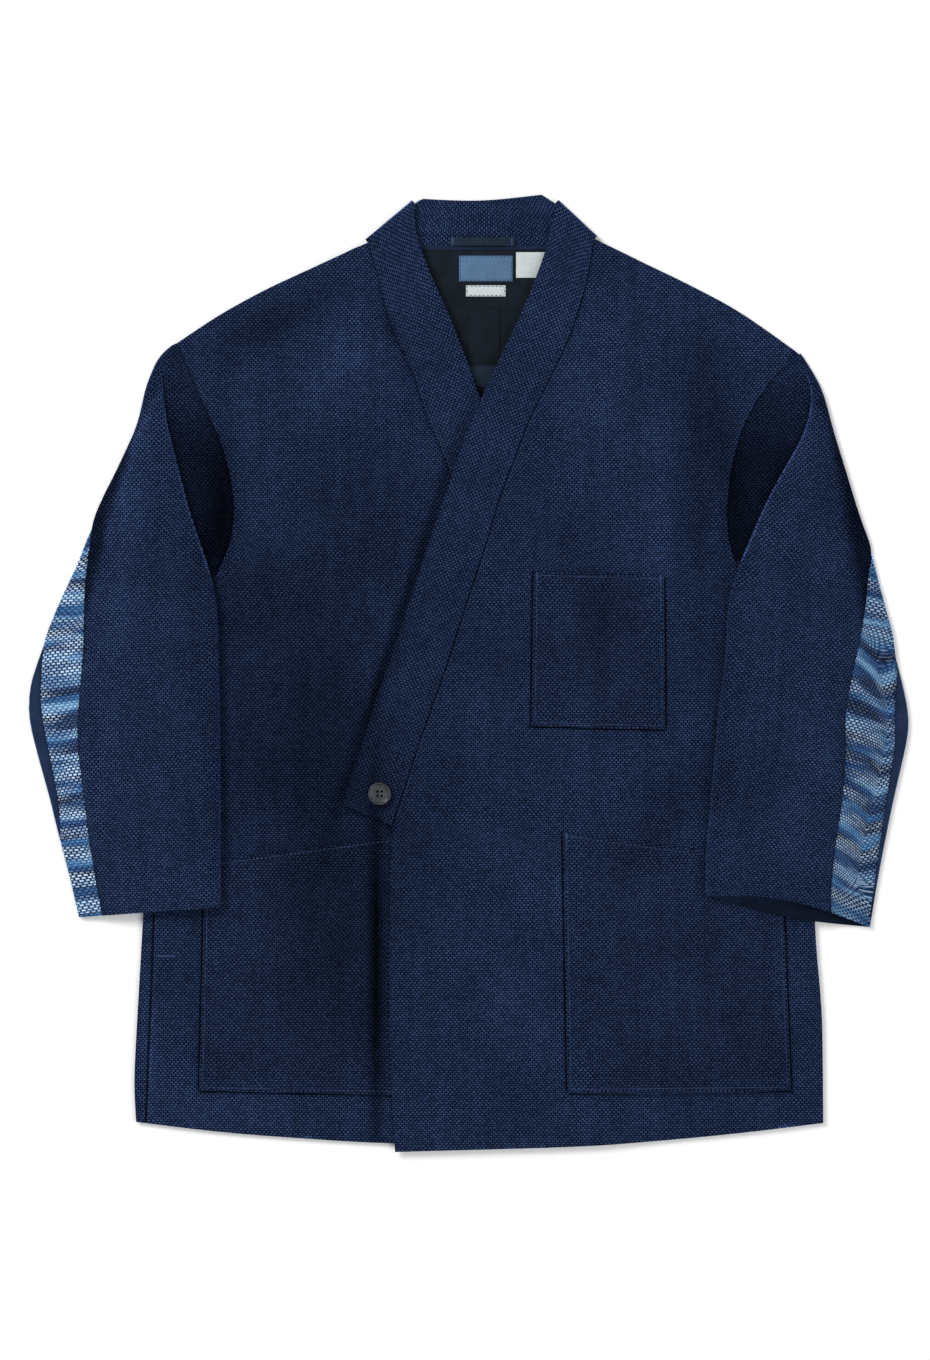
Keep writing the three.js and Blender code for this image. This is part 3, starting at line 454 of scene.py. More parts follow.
# Creases grow from nothing to their full height between these heights of the front over the table.
SEWN_DOWN = 2.3 * MM
LIES_FREE = 3.8 * MM
FRONTS = [SOLIDS["right_front"], SOLIDS["left_front"]]
# The cloth's own unevenness: height in mm, size of a hill in metres, and seed.
UNEVEN = ((0.35, 0.085, 3), (0.22, 0.042, 5), (0.10, 0.019, 8))

# Soft creases of the upper layers, in mm and degrees: the middle of each, the way its crest runs,
# its reach along and across the crest, and its height, or its depth if below 0.
CREASES = (
    # x, y, angle, along, across, height
    (-292, 112, 88, 85, 6, 1.5),
    (-285, -30, 96, 70, 9, 0.5),
    (201, 122, 20, 14, 6, -1.6),
    (-17, 103, -22, 20, 5, -0.9),
    (-10, 120, -22, 16, 5, 0.5),
    (9, -134, 90, 210, 4, 0.6),
    (112, 20, 88, 50, 13, -0.9),
    (-150, -224, -52, 80, 12, -0.9),
    (-172, 282, 60, 70, 12, 1.2),
    (-196, 262, 40, 46, 10, -1.2),
    (164, 190, 86, 96, 12, 1.1),
    (-118, 176, 65, 60, 18, -0.9),
    (190, 235, 78, 90, 9, 0.9),
    (150, 226, 80, 50, 18, -0.8),
    (168, -105, 48, 62, 10, -1.2),
    (270, 100, 102, 60, 8, 0.9),
    (300, -60, 84, 90, 10, 0.8),
    (-60, -40, 72, 60, 16, 0.6),
    (60, -250, 93, 90, 14, -0.6),
    (130, -330, 4, 80, 12, 0.5),
)


def lattice_noise(x, y, size, seed):
    """Uneven values from -1 to 1 over the plane, about size metres from one hill to the next."""
    grid = np.random.default_rng(seed).uniform(-1, 1, (80, 80))
    u, v = x / size + 40, y / size + 40
    i, j = np.floor(u).astype(int), np.floor(v).astype(int)
    fu, fv = smooth(u - i, 0, 1), smooth(v - j, 0, 1)
    low = grid[i, j] * (1 - fu) + grid[i + 1, j] * fu
    high = grid[i, j + 1] * (1 - fu) + grid[i + 1, j + 1] * fu
    return low * (1 - fv) + high * fv


def crease_height(x, y):
    """How far the cloth's creases lift it, in metres, at a place on the table."""
    lift = sum(height * lattice_noise(x, y, size, seed) for height, size, seed in UNEVEN)
    for at_x, at_y, angle, along, across, height in CREASES:
        c, s = math.cos(math.radians(angle)), math.sin(math.radians(angle))
        dx, dy = x / MM - at_x, y / MM - at_y
        run, off = dx * c + dy * s, dy * c - dx * s
        uneven = 1 + 0.35 * lattice_noise(x, y, 0.03, 11)
        lift = lift + height * uneven * np.exp(-((run / along) ** 2) - (off / across) ** 2)
    return np.clip(lift, -CREASE_LIMIT, CREASE_LIMIT) * MM


def body_creases(points):
    """How far creases lift what lies on the back: it stays clear of the back, and still where sewn."""
    lift = crease_height(points[:, 0], points[:, 1])
    heights = []
    for x, y in points[:, :2].tolist():
        hits = [solid.ray_cast((x, y, 0.0), (0, 0, 1))[0] for solid in FRONTS]
        heights.append(min((hit.z for hit in hits if hit), default=BACK_TOP))
    heights = np.array(heights)
    raised = lift * smooth(heights, SEWN_DOWN, LIES_FREE)
    return np.where(lift > 0, raised, np.maximum(lift, BACK_TOP - heights))


# Grooves and steps are pressed along lines: (offset across the line, depth, painted shade) from one
# side to the other, in mm. The painted shade darkens the floor of the groove or step. A patch
# pocket's stitched edge draws a groove round it.
FACING_UP = 0.3
PRESSED_REACH = 9
POCKET_GROOVE = ((-0.9, 0, 0), (0.3, 0.9, 1), (1.0, 0.8, 1), (1.9, 0, 0))
VENT_STEP = ((-0.6, 0, 0), (0.0, 1.2, 1), (1.7, 1.1, 1), (2.3, 1.0, 0), (18, 1.0, 0))
VENT_LINE = ((-270.5, -207), (-271.5, -243), (-277.5, -386))


def press_line(piece, start, end, profile):
    """Presses a profile into the upper side of the cloth, to the right of the way from start to end,
    and marks the painted shade of its floor.
    """
    start, end = Vector((*start, 0)) * MM, Vector((*end, 0)) * MM
    length = (end - start).length
    way = (end - start).normalized()
    side = Vector((way.y, -way.x, 0))
    bm = bmesh.new()
    bm.from_mesh(piece.data)
    bm.normal_update()
    pressed_shade = bm.verts.layers.float.get("pressed_shade") or bm.verts.layers.float.new("pressed_shade")

    def places(point):
        return (point - start).dot(way), (point - start).dot(side) / MM

    for offset, _, _ in profile:
        near = []
        for face in bm.faces:
            if face.normal.z > FACING_UP:
                run, off = places(face.calc_center_median())
                if 0 < run < length and abs(off - offset) < PRESSED_REACH:
                    near.append(face)
        parts = dict.fromkeys(part for face in near for part in (*face.verts, *face.edges, face))
        bmesh.ops.bisect_plane(bm, geom=list(parts), plane_co=start + side * offset * MM, plane_no=side,
                               dist=0.02 * MM)
    offsets, depths, shaded = zip(*profile)
    bm.normal_update()
    for vert in bm.verts:
        run, off = places(vert.co)
        along = -0.1 * MM < run < length + 0.1 * MM
        if along and offsets[0] < off < offsets[-1] + 0.1 and vert.normal.z > FACING_UP:
            vert.co.z -= float(np.interp(off, offsets, depths)) * MM
            vert[pressed_shade] = max(vert[pressed_shade], float(np.interp(off, offsets, shaded)))
    bm.to_mesh(piece.data)
    bm.free()


def corners_of(node):
    """The corners of a pocket's outline in mm: lower left, lower right, upper right and upper left."""
    points = points_of(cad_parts[node].data)[:, :2] / MM
    return [tuple(points[(points @ way).argmax()]) for way in ((-1, -1), (1, -1), (1, 1), (-1, 1))]


fronts = {}
for node, flat, area, patches in (
    ("right_front", (0.377, 0.777), 0.2155, ["right_pocket"]),
    ("left_front", (0.374, 0.784), 0.2155, ["chest_pocket", "left_pocket"]),
):
    piece = cut_piece(node)
    lay_grain(piece, straight_grain(0))
    sew_up(piece, 3, body_creases)
    for patch in patches:
        low_left, low_right, high_right, high_left = corners_of(patch)
        for start, end in ((low_right, high_right), (low_left, low_right), (high_left, low_left)):
            press_line(piece, start, end, POCKET_GROOVE)
    if node == "right_front":
        for start, end in zip(VENT_LINE, VENT_LINE[1:]):
            press_line(piece, start, end, VENT_STEP)
    fade_and_painted_shade(piece)
    finish_cloth(piece, node, sashiko)
    fronts[node] = piece

# ---- Collar -------------------------------------------------------------------------------------
# The collar is one long band of the cloth, folded double, sewn round the neck and down both front
# edges. It turns over at the shoulders, so its grain turns with it.
def strip_rows(piece, first):
    """Numbers the rows of vertices along a strip, from the points that first picks out."""
    bm = bmesh.new()
    bm.from_mesh(piece.data)
    rows = {vertex.index: 0 for vertex in bm.verts if first(vertex.co)}
    bm.verts.ensure_lookup_table()
    edge = list(rows)
    while edge:
        reached = []
        for index in edge:
            for link in bm.verts[index].link_edges:
                other = link.other_vert(bm.verts[index]).index
                if other not in rows:
                    rows[other] = rows[index] + 1
                    reached.append(other)
        edge = reached
    bm.free()
    return np.array([rows[i] for i in range(len(piece.data.vertices))])


def band_grain(rows):
    """Grain along a band: metres along its middle line, and across it."""
    def place(points):
        count = rows.max() + 1
        middles = np.array([points[rows == k].mean(axis=0) for k in range(count)])
        steps = np.linalg.norm(np.diff(middles, axis=0), axis=1)
        along = np.concatenate([[0], np.cumsum(steps)])
        grain = np.zeros((len(points), 2))
        side = None
        for k in range(count):
            row = points[rows == k] - middles[k]
            way = np.linalg.svd(row)[2][0]
            if side is not None and way @ side < 0:
                way = -way
            side = way
            grain[rows == k] = np.column_stack([row @ way, np.full(len(row), along[k])])
        return grain
    return place


BAND_ROUNDING = 1.3 * MM
# The way the band runs down the front, and how far down that way its buttoned end starts.
BAND_WAY = (0.37, 0.93)
BAND_END = -140 * MM
collar = cut_piece("collar")
collar_rows = strip_rows(collar, lambda co: co.x * BAND_WAY[0] + co.y * BAND_WAY[1] < BAND_END)
lay_grain(collar, band_grain(collar_rows))
sew_up(collar, 3, body_creases, BAND_ROUNDING)
fade_and_painted_shade(collar)
finish_cloth(collar, "collar", sashiko)

# ---- Sleeves ------------------------------------------------------------------------------------
# Each sleeve is a tube of three panels: a front and a back of indigo cloth, and between them a strip
# woven from torn rags that runs down over the elbow. The tube is pressed flat with its slack tucked
# under the inner fold, and that tucked cloth and the inside of the cuff are painted darker, as shade.
# Where the tucked cloth and the inside of the cuff lie, and how much painted shade each gets.
LAID_STILL = 1.6 * MM
LAID_FREE = 5 * MM
TUCK_TOP = 8.5 * MM
TUCK_DEEP = 5.5 * MM
TUCK_SHADE = 0.30
ARMHOLE_LOW = 40 * MM
ARMHOLE_MIDDLE = 180 * MM
ARMHOLE_HIGH = 270 * MM
ARMHOLE_SHADE = 0.42
CUFF_INSIDE = 184 * MM
CUFF_EDGE = 200 * MM
CUFF_SHADE = 0.7


def sleeve_creases(points):
    """The creases of a sleeve, whose lowest layer lies still on the table."""
    return smooth(points[:, 2], LAID_STILL, LAID_FREE) * crease_height(points[:, 0], points[:, 1])


def tuck_painted_shade(points):
    """Painted shade: darker where the sleeve's slack lies tucked away below the shoulder."""
    hidden = 1 - smooth(points[:, 2], TUCK_DEEP, TUCK_TOP)
    below = 1 - smooth(points[:, 1], ARMHOLE_MIDDLE, ARMHOLE_HIGH)
    return 1 - (TUCK_SHADE + ARMHOLE_SHADE * below) * hidden * smooth(points[:, 1], 0, ARMHOLE_LOW)


def cuff_painted_shade(points):
    """The same painted shade for a sleeve's under side, with more painted shade where one looks into
    the cuff.
    """
    return tuck_painted_shade(points) * (1 - CUFF_SHADE * smooth(-points[:, 1], CUFF_INSIDE, CUFF_EDGE))


def strip_grain(rows):
    """Grain of a strip folded over the sleeve's outer edge: round the fold, and down its length."""
    def place(points):
        count = rows.max() + 1
        grain = np.zeros((len(points), 2))
        outer, along = None, 0.0
        for k in range(count):
            row = points[rows == k]
            edge = row[np.abs(row[:, 0]).argmax()]
            if outer is not None:
                along += float(np.hypot(*(edge - outer)[:2]))
            outer = edge
            middle = (row[:, 2].max() + row[:, 2].min()) / 2
            from_fold = np.hypot(row[:, 0] - edge[0], row[:, 1] - edge[1])
            round_fold = np.where(row[:, 2] > middle, 1, -1) * from_fold
            grain[rows == k] = np.column_stack([round_fold, np.full(len(row), along)])
        return grain
    return place


RAG_PITCH = 4.2
RAG_ROW = 2.3


def rag_weave(name, tilt, seed, whiteness, lightness):
    """Rag-woven cotton: torn strips of many blues packed crosswise, held by rows of white stitches.

    The stitches stand 4.2 mm apart in rows of 2.3 mm. Each rag makes a band of its own blue, and the
    white warp shows more on some bands than on others.
    """
    material, tree, output = new_material(name)
    grain = add_node(tree, "UVMap", uv_map="grain")
    in_mm = add_node(tree, "Mapping",
                     {**IN_MM, "Rotation": (0, 0, tilt), "Location": (seed, seed, 0)},
                     {"Vector": grain})
    slip = add_node(tree, "TexNoise", {"Scale": 0.11, "Detail": 2}, {"Vector": in_mm})
    centred = add_node(tree, "VectorMath", {1: (0.5, 0.5, 0.5)}, {0: slip.outputs["Color"]},
                       operation="SUBTRACT")
    loose = add_node(tree, "VectorMath", {1: (0.9, 0.9, 0)},
                     {0: centred, 2: in_mm}, operation="MULTIPLY_ADD")
    rows = add_node(tree, "Mapping", {"Scale": (RAG_ROW / RAG_PITCH, 1, 1)}, {"Vector": loose})
    rag_way = add_node(tree, "Mapping", {"Scale": (0.007, 0.075, 1)}, {"Vector": loose})
    rags = add_node(tree, "TexNoise", {"Scale": 1, "Detail": 2, "Roughness": 0.55}, {"Vector": rag_way})
    shades = add_node(tree, "ValToRGB", links={0: rags})
    ramp = shades.color_ramp
    ramp.elements[0].position, ramp.elements[0].color = 0.36, linear("#0d2144")
    ramp.elements[1].position, ramp.elements[1].color = 0.70, linear("#7fb0da")
    for place, code in ((0.44, "#16386a"), (0.51, "#224c82"), (0.58, "#346a9f"), (0.64, "#5589bc")):
        ramp.elements.new(place).color = linear(code)
    frayed = add_node(tree, "TexNoise", {"Scale": 0.45, "Detail": 2}, {"Vector": loose})
    mottle = add_node(tree, "MapRange", {1: 0.3, 2: 0.7, 3: 0.55, 4: 1.45}, {0: frayed})
    rag = add_node(tree, "VectorMath", {}, {0: shades, 3: mottle}, operation="SCALE")
    stitches = add_node(
        tree, "TexBrick",
        {"Color1": (1, 1, 1, 1), "Color2": (0.25, 0.25, 0.25, 1), "Mortar": (0, 0, 0, 1), "Scale": 1.0,
         "Mortar Size": 0.56, "Mortar Smooth": 0.5, "Bias": -0.3,
         "Brick Width": RAG_ROW, "Row Height": RAG_ROW},
        {"Vector": rows}, offset=0.5, offset_frequency=2)
    warp_way = add_node(tree, "Mapping", {"Scale": (0.016, 0.085, 1), "Location": (9, 4, 0)},
                        {"Vector": loose})
    raised = add_node(tree, "TexNoise", {"Scale": 1, "Detail": 2}, {"Vector": warp_way})
    shown = add_node(tree, "MapRange", {1: 0.42, 2: 0.60, 3: 0.10, 4: whiteness}, {0: raised})
    light = add_node(tree, "Math", {}, {0: stitches.outputs["Color"], 1: shown}, operation="MULTIPLY")
    gap = add_node(tree, "MapRange", {1: 0, 2: 1, 3: 1, 4: 0.5}, {0: stitches.outputs["Fac"]})
    deep = add_node(tree, "VectorMath", {}, {0: rag, 3: gap}, operation="SCALE")
    woven = add_node(tree, "Mix", {7: linear("#cfe6fb")}, {0: light, 6: deep}, data_type="RGBA")
    # Dye fade and painted shade, as written on each piece.
    fade_and_shade = add_node(tree, "Attribute", attribute_name="fade_and_painted_shade")
    tone = add_node(tree, "Math", {1: lightness}, {0: fade_and_shade.outputs["Fac"]}, operation="MULTIPLY")
    colour = add_node(tree, "VectorMath", {}, {0: woven.outputs[2], 3: tone}, operation="SCALE")
    bump = add_node(tree, "Bump", {"Strength": 0.8, "Distance": 0.5 * MM},
                    {"Height": stitches.outputs["Color"]})
    cloth = add_node(tree, "BsdfPrincipled", {"Roughness": 0.95, "Specular IOR Level": 0.05},
                     {"Base Color": colour, "Normal": bump})
    tree.links.new(cloth.outputs[0], output.inputs[0])
    return material


def plain_weave(name, code, thread, clouds=0.2):
    """Plain-woven cotton: fine crossing threads, drawn coarser than they are so that they show."""
    material, tree, output = new_material(name)
    grain = add_node(tree, "UVMap", uv_map="grain")
    in_mm = add_node(tree, "Mapping", IN_MM, {"Vector": grain})
    weft = add_node(tree, "TexBrick",
                    {"Color1": (1, 1, 1, 1), "Color2": (0.7, 0.7, 0.7, 1),
                     "Mortar": (0.35, 0.35, 0.35, 1), "Scale": 1.0,
                     "Mortar Size": 0.12 * thread, "Mortar Smooth": 0.8,
                     "Brick Width": 2 * thread, "Row Height": thread},
                    {"Vector": in_mm}, offset=0.5)
    cloudy = add_node(tree, "TexNoise", {"Scale": 0.06, "Detail": 3}, {"Vector": in_mm})
    tone = add_node(tree, "MapRange", {1: 0.3, 2: 0.7, 3: 1 - clouds, 4: 1 + clouds}, {0: cloudy})
    # Dye fade and painted shade, as written on each piece.
    fade_and_shade = add_node(tree, "Attribute", attribute_name="fade_and_painted_shade")
    tone_and_shade = add_node(tree, "Math", {}, {0: tone, 1: fade_and_shade.outputs["Fac"]}, operation="MULTIPLY")
    shade = add_node(tree, "Mix", {6: linear(code)}, {7: weft.outputs["Color"]},
                     data_type="RGBA", blend_type="MULTIPLY")
    shade.inputs[0].default_value = 0.5
    colour = add_node(tree, "VectorMath", {}, {0: shade.outputs[2], 3: tone_and_shade}, operation="SCALE")
    bump = add_node(tree, "Bump", {"Strength": 0.4, "Distance": 0.15 * MM},
                    {"Height": weft.outputs["Color"]})
    cloth = add_node(tree, "BsdfPrincipled", {"Roughness": 0.9, "Specular IOR Level": 0.05},
                     {"Base Color": colour, "Normal": bump})
    tree.links.new(cloth.outputs[0], output.inputs[0])
    return material


def rim_points(node, low, high):
    """The corners of a flat node's outline that lie between two corners of a box, in mm, as rows."""
    points = points_of(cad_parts[node].data)
    walls = [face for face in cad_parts[node].data.polygons if abs(face.normal.z) < 0.5]
    rim = {tuple(np.round(points[i, :2] / MM, 2)) for face in walls for i in face.vertices}
    return sorted(p for p in rim if low[0] <= p[0] <= high[0] and low[1] <= p[1] <= high[1])


def ways_along(line):
    """The unit direction of a line at each of its points."""
    ways = np.gradient(line, axis=0)
    return ways / np.linalg.norm(ways, axis=1)[:, None]


def closed_piece(name, points, faces):
    """A new piece of cloth or thread from its points in metres, with its faces turned outwards."""
    mesh = bpy.data.meshes.new(name)
    mesh.from_pydata(points, [], faces)
    bm = bmesh.new()
    bm.from_mesh(mesh)
    bmesh.ops.recalc_face_normals(bm, faces=bm.faces)
    bm.to_mesh(mesh)
    bm.free()
    piece = bpy.data.objects.new(name, mesh)
    bpy.context.collection.objects.link(piece)
    lay_grain(piece, straight_grain(0))
    return piece


def seam_tape(name, line, wide, level, thick, slot, below):
    """A thin strip of cloth under or over a seam, in mm: its line, width, lower level and thickness."""
    line = np.array(line)
    ways = ways_along(line)
    across = np.column_stack([-ways[:, 1], ways[:, 0]]) * wide / 2
    rings = [line + across, line - across]
    points = [(*(p * MM), z * MM) for z in (level + thick, level) for ring in rings for p in ring]
    n = len(line)
    faces = []
    for k in range(n - 1):
        faces += [(k, n + k, n + k + 1, k + 1), (2 * n + k, 2 * n + k + 1, 3 * n + k + 1, 3 * n + k)]
        faces += [(k, k + 1, 2 * n + k + 1, 2 * n + k), (n + k, 3 * n + k, 3 * n + k + 1, n + k + 1)]
    faces += [(0, 2 * n, 3 * n, n), (n - 1, 2 * n - 1, 4 * n - 1, 3 * n - 1)]
    tape = closed_piece(name, points, faces)
    fade_and_painted_shade(tape)
    finish_cloth(tape, None, seam_cloth)


plain_indigo = plain_weave("plain_dyed_indigo_cotton", "#1f2d48", 1.3)
seam_cloth = plain_weave("indigo_seam_tape", "#0c1220", 1.3)
STRIP_END = 12 * MM
# Each sleeve: side, turn of the grain, flat size and area of its front, back and strip, then the
# strip's tilt, seed, whiteness and lightness, and two corners of a box round its armhole seam.
SLEEVES = (
    ("right", 2, (0.162, 0.492), 0.0622, (0.176, 0.492), 0.0530, (0.037, 0.455), 0.0128,
     (0.12, 37, 0.88, 0.95), ((-266, 45), (-190, 286))),
    ("left", -5, (0.160, 0.489), 0.0599, (0.174, 0.497), 0.0541, (0.043, 0.455), 0.0159,
     (0.30, 91, 0.62, 0.8), ((190, 45), (286, 278.5))),
)
ALLOWANCE = {"wide": 9, "level": 1.72, "thick": 0.45}
for (side, turn, front_flat, front_area, back_flat, back_area, strip_flat, strip_area, rags,
     armhole) in SLEEVES:
    # The last column is each panel's painted shade of tucked cloth.
    for panel, material, slot, flat, area, tone in (
        ("front", sashiko, "sashiko_cloth", front_flat, front_area, tuck_painted_shade),
        ("back", plain_indigo, "sleeve_back_cloth", back_flat, back_area, cuff_painted_shade),
    ):
        node = f"{side}_sleeve_{panel}"
        piece = cut_piece(node)
        lay_grain(piece, straight_grain(turn))
        sew_up(piece, 2, sleeve_creases, in_two=panel == "front")
        fade_and_painted_shade(piece, tone)
        finish_cloth(piece, node, material)
    node = f"{side}_sleeve_strip"
    piece = cut_piece(node)
    top = max(vertex.co.y for vertex in piece.data.vertices)
    lay_grain(piece, strip_grain(strip_rows(piece, lambda co: co.y > top - STRIP_END)))
    sew_up(piece, 3, sleeve_creases, in_two=False)
    fade_and_painted_shade(piece)
    weave = rag_weave(f"rag_woven_strip_{side}", *rags)
    finish_cloth(piece, node, weave)
    # The allowances of the armhole seam, pressed open under it.
    line = sorted(rim_points("back", *armhole), key=lambda point: point[1])
    seam_tape(f"{side}_armhole_allowance", line, **ALLOWANCE, slot="sashiko_cloth", below="back")

# ---- Pockets ------------------------------------------------------------------------------------
# Three patch pockets of the same cloth, a little less faded: one on the chest and one low on each
# front. Their edges are turned under and sewn down 2 mm inside, which draws a groove round them.
EDGE_STITCH = 2.0 * MM
GROOVE_WIDE = 1.0 * MM
GROOVE_DEEP = 0.4 * MM
LEVEL_UP = 0.6
pocket_cloth = cotton_sashiko("indigo_sashiko_cotton_pockets", "#030612", "#2a3959")


def stitched_edge(piece, inside, wide, deep):
    """Presses a groove into the upper side, along all of its edges."""
    bm = bmesh.new()
    bm.from_mesh(piece.data)
    bm.normal_update()
    upper = [face for face in bm.faces if face.normal.z > LEVEL_UP]
    for thickness, depth in ((inside, 0), (wide, -deep), (wide, deep)):
        bmesh.ops.inset_region(bm, faces=upper, thickness=thickness, depth=depth, use_even_offset=True)
    bm.to_mesh(piece.data)
    bm.free()


pockets = {}
for node, flat, area, front in (
    ("chest_pocket", (0.115, 0.135), 0.0150, "left_front"),
    ("left_pocket", (0.196, 0.225), 0.0401, "left_front"),
    ("right_pocket", (0.176, 0.223), 0.0363, "right_front"),
):
    piece = cut_piece(node)
    stitched_edge(piece, EDGE_STITCH, GROOVE_WIDE, GROOVE_DEEP)
    lay_grain(piece, straight_grain(0))
    sew_up(piece, 2, body_creases)
    fade_and_painted_shade(piece)
    finish_cloth(piece, node, pocket_cloth)
    pockets[node] = piece

# ---- Stitches -----------------------------------------------------------------------------------
# Cotton thread, dyed with the cloth and a little lighter than it: rows of 2.6 mm stitches round the
# pockets and along the collar's seam on the left front, and bar tacks where a seam has to hold.
STITCH = 2.6
STITCH_PITCH = 3.6
THREAD = 0.5
THREAD_SIDES = 6
# A stitch from end to end: how far along it, rise over the cloth in mm, and part of its full width.
STITCH_SHAPE = ((0, -0.2, 0.5), (0.2, 0.2, 1), (0.8, 0.2, 1), (1, -0.2, 0.5))
thread = plain_weave("indigo_dyed_cotton_thread", "#3d5078", 0.5, 0.4)


def dye_evenly(piece):
    """Writes an even tone of 1 at every point, with no fade and no painted shade."""
    even = np.ones(len(piece.data.vertices))
    piece.data.attributes.new("fade_and_painted_shade", "FLOAT", "POINT").data.foreach_set("value", even)


def lay_stitches(name, ground, lines):
    """Rows of stitches along lines of points in mm. Each lies on the cloth and dips in at its ends."""
    surface = surface_of(ground.data)
    points, faces = [], []
    for line in lines:
        line = np.array(line, dtype=float)
        places = np.concatenate([[0], np.cumsum(np.linalg.norm(np.diff(line, axis=0), axis=1))])
        starts = np.arange(0, max(places[-1] - STITCH, 0) + 0.01, STITCH_PITCH)
        reach = min(STITCH, places[-1])
        for start in starts:
            ends = [np.array([np.interp(at, places, line[:, axis]) for axis in (0, 1)])
                    for at in (start, start + reach)]
            side = np.array([ends[0][1] - ends[1][1], ends[1][0] - ends[0][0]]) / reach
            rings = []
            for part, rise, wide in STITCH_SHAPE:
                middle = ends[0] * (1 - part) + ends[1] * part
                hit = surface.ray_cast((middle[0] * MM, middle[1] * MM, 0.1), (0, 0, -1))[0]
                if hit is None:
                    break
                half = wide * THREAD / 2
                for turn in range(THREAD_SIDES):
                    angle = math.tau * turn / THREAD_SIDES
                    x, y = (middle + side * half * math.cos(angle)) * MM
                    rings.append((x, y, hit.z + (rise + half * math.sin(angle)) * MM))
            if len(rings) < len(STITCH_SHAPE) * THREAD_SIDES:
                continue
            first = len(points)
            last = first + len(rings) - THREAD_SIDES
            points += rings
            for ring in range(first, last, THREAD_SIDES):
                for turn in range(THREAD_SIDES):
                    a, b = ring + turn, ring + (turn + 1) % THREAD_SIDES
                    faces.append((a, b, b + THREAD_SIDES, a + THREAD_SIDES))
            faces += [tuple(range(first, first + THREAD_SIDES))[::-1], tuple(range(last, len(points)))]
    row = closed_piece(name, points, faces)
    dye_evenly(row)
    select_only(row)
    bpy.ops.object.shade_smooth()
    row.data.materials.append(thread)
    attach(row, "root")


TACK_HALF = 0.9
TACK_PITCH = 0.55


def bar_tack(x, y, length, angle):
    """Close stitches side by side, along a bar."""
    way = np.array([math.cos(math.radians(angle)), math.sin(math.radians(angle))])
    across = np.array([-way[1], way[0]]) * TACK_HALF
    places = np.arange(-length / 2, length / 2 + 0.1, TACK_PITCH)
    middles = [np.array([x, y]) + way * at for at in places]
    return [[middle - across, middle + across] for middle in middles]


def set_in(corners, inside):
    """An open run of corners, moved inwards to the left of its way."""
    moved = [np.array(corner) for corner in corners]
    for k in range(len(corners) - 1):
        way = np.array(corners[k + 1]) - np.array(corners[k])
        way /= np.linalg.norm(way)
        shift = np.array([-way[1], way[0]]) * inside
        moved[k] = moved[k] + shift
        moved[k + 1] = moved[k + 1] + shift
    return moved


# Places and lengths in mm. A tack is its middle, its length and its angle.
STITCH_LINE = (EDGE_STITCH + GROOVE_WIDE) / MM
COLLAR_STITCH = 2.0
COLLAR_SEAM = ((-66, -126), (96, 372))
CORNER_TACK = 6
LEFT_VENT_TACK = (253, -199, 20, 0)
RIGHT_VENT_TACK = (-261, -242, 15, 0)
for node, piece in pockets.items():
    low_left, low_right, high_right, high_left = corners_of(node)
    down_and_up = set_in([high_left, low_left, low_right, high_right], STITCH_LINE)
    mouth = set_in([high_right, high_left], STITCH_LINE)
    rows = [down_and_up, mouth]
    for corner in (down_and_up[0], down_and_up[3]):
        rows += bar_tack(corner[0], corner[1] - CORNER_TACK / 2, CORNER_TACK, 90)
    lay_stitches(node + "_stitches", piece, rows)
collar_seam = np.array(rim_points("left_front", *COLLAR_SEAM))
ways = ways_along(collar_seam)
beside_collar = collar_seam + np.column_stack([ways[:, 1], -ways[:, 0]]) * COLLAR_STITCH
left_rows = [beside_collar] + bar_tack(*LEFT_VENT_TACK)
lay_stitches("left_front_stitches", fronts["left_front"], left_rows)
lay_stitches("right_front_stitches", fronts["right_front"], bar_tack(*RIGHT_VENT_TACK))

# ---- Neck ---------------------------------------------------------------------------------------
# Inside the neck lie a yoke lining of thin charcoal cotton, a tape and a band sewn on it, a hanger
# loop, and three labels, left bare: a blue woven one and two white ones.
THIN_ROUNDING = 0.2 * MM
LABEL_STITCH = 0.9
LOOP_TACK = 6
LOOP_TACK_IN = 2.5
NAPE_SEAM = ((-60, 366.01), (76, 371))
NAPE_TAPE = {"wide": 3.4, "level": 3.24, "thick": 0.22}
charcoal = plain_weave("charcoal_plain_cotton", "#181e26", 0.9)
binding = plain_weave("navy_cotton_tape", "#202b38", 1.1)
blue_label = plain_weave("blue_damask_label", "#54708f", 0.7, 0.08)
white_label = plain_weave("white_cotton_label", "#c6cdce", 0.8, 0.03)
neck_pieces = {}
for node, material, slot, flat, area, below in (
    ("yoke_lining", charcoal, "lining_cloth", (0.178, 0.1226), 0.0218, "back"),
    ("neck_tape", charcoal, "binding_tape", (0.027, 0.047), None, "yoke_lining"),
    ("yoke_band", binding, "binding_tape", (0.026, 0.018), None, "yoke_lining"),
    ("woven_label", blue_label, "woven_label_cloth", (0.046, 0.022), None, "yoke_lining"),
    ("size_label", white_label, "white_label_cloth", (0.034, 0.010), 0.000323, "yoke_lining"),
    ("care_label", white_label, "white_label_cloth", (0.026, 0.022), None, "yoke_lining"),
    ("hanger_loop", binding, "binding_tape", (0.056, 0.010), 0.000392, "collar"),
):
    piece = cut_piece(node)
    lay_grain(piece, straight_grain(0))
    sew_up(piece, 2, rounding=THIN_ROUNDING, in_two=node != "hanger_loop")
    dye_evenly(piece)
    finish_cloth(piece, node, material)
    neck_pieces[node] = piece

# The tape that covers the seam between the collar and the back.
nape = rim_points("back", *NAPE_SEAM)
seam_tape("nape_seam_tape", nape, **NAPE_TAPE, slot="binding_tape", below="yoke_lining")

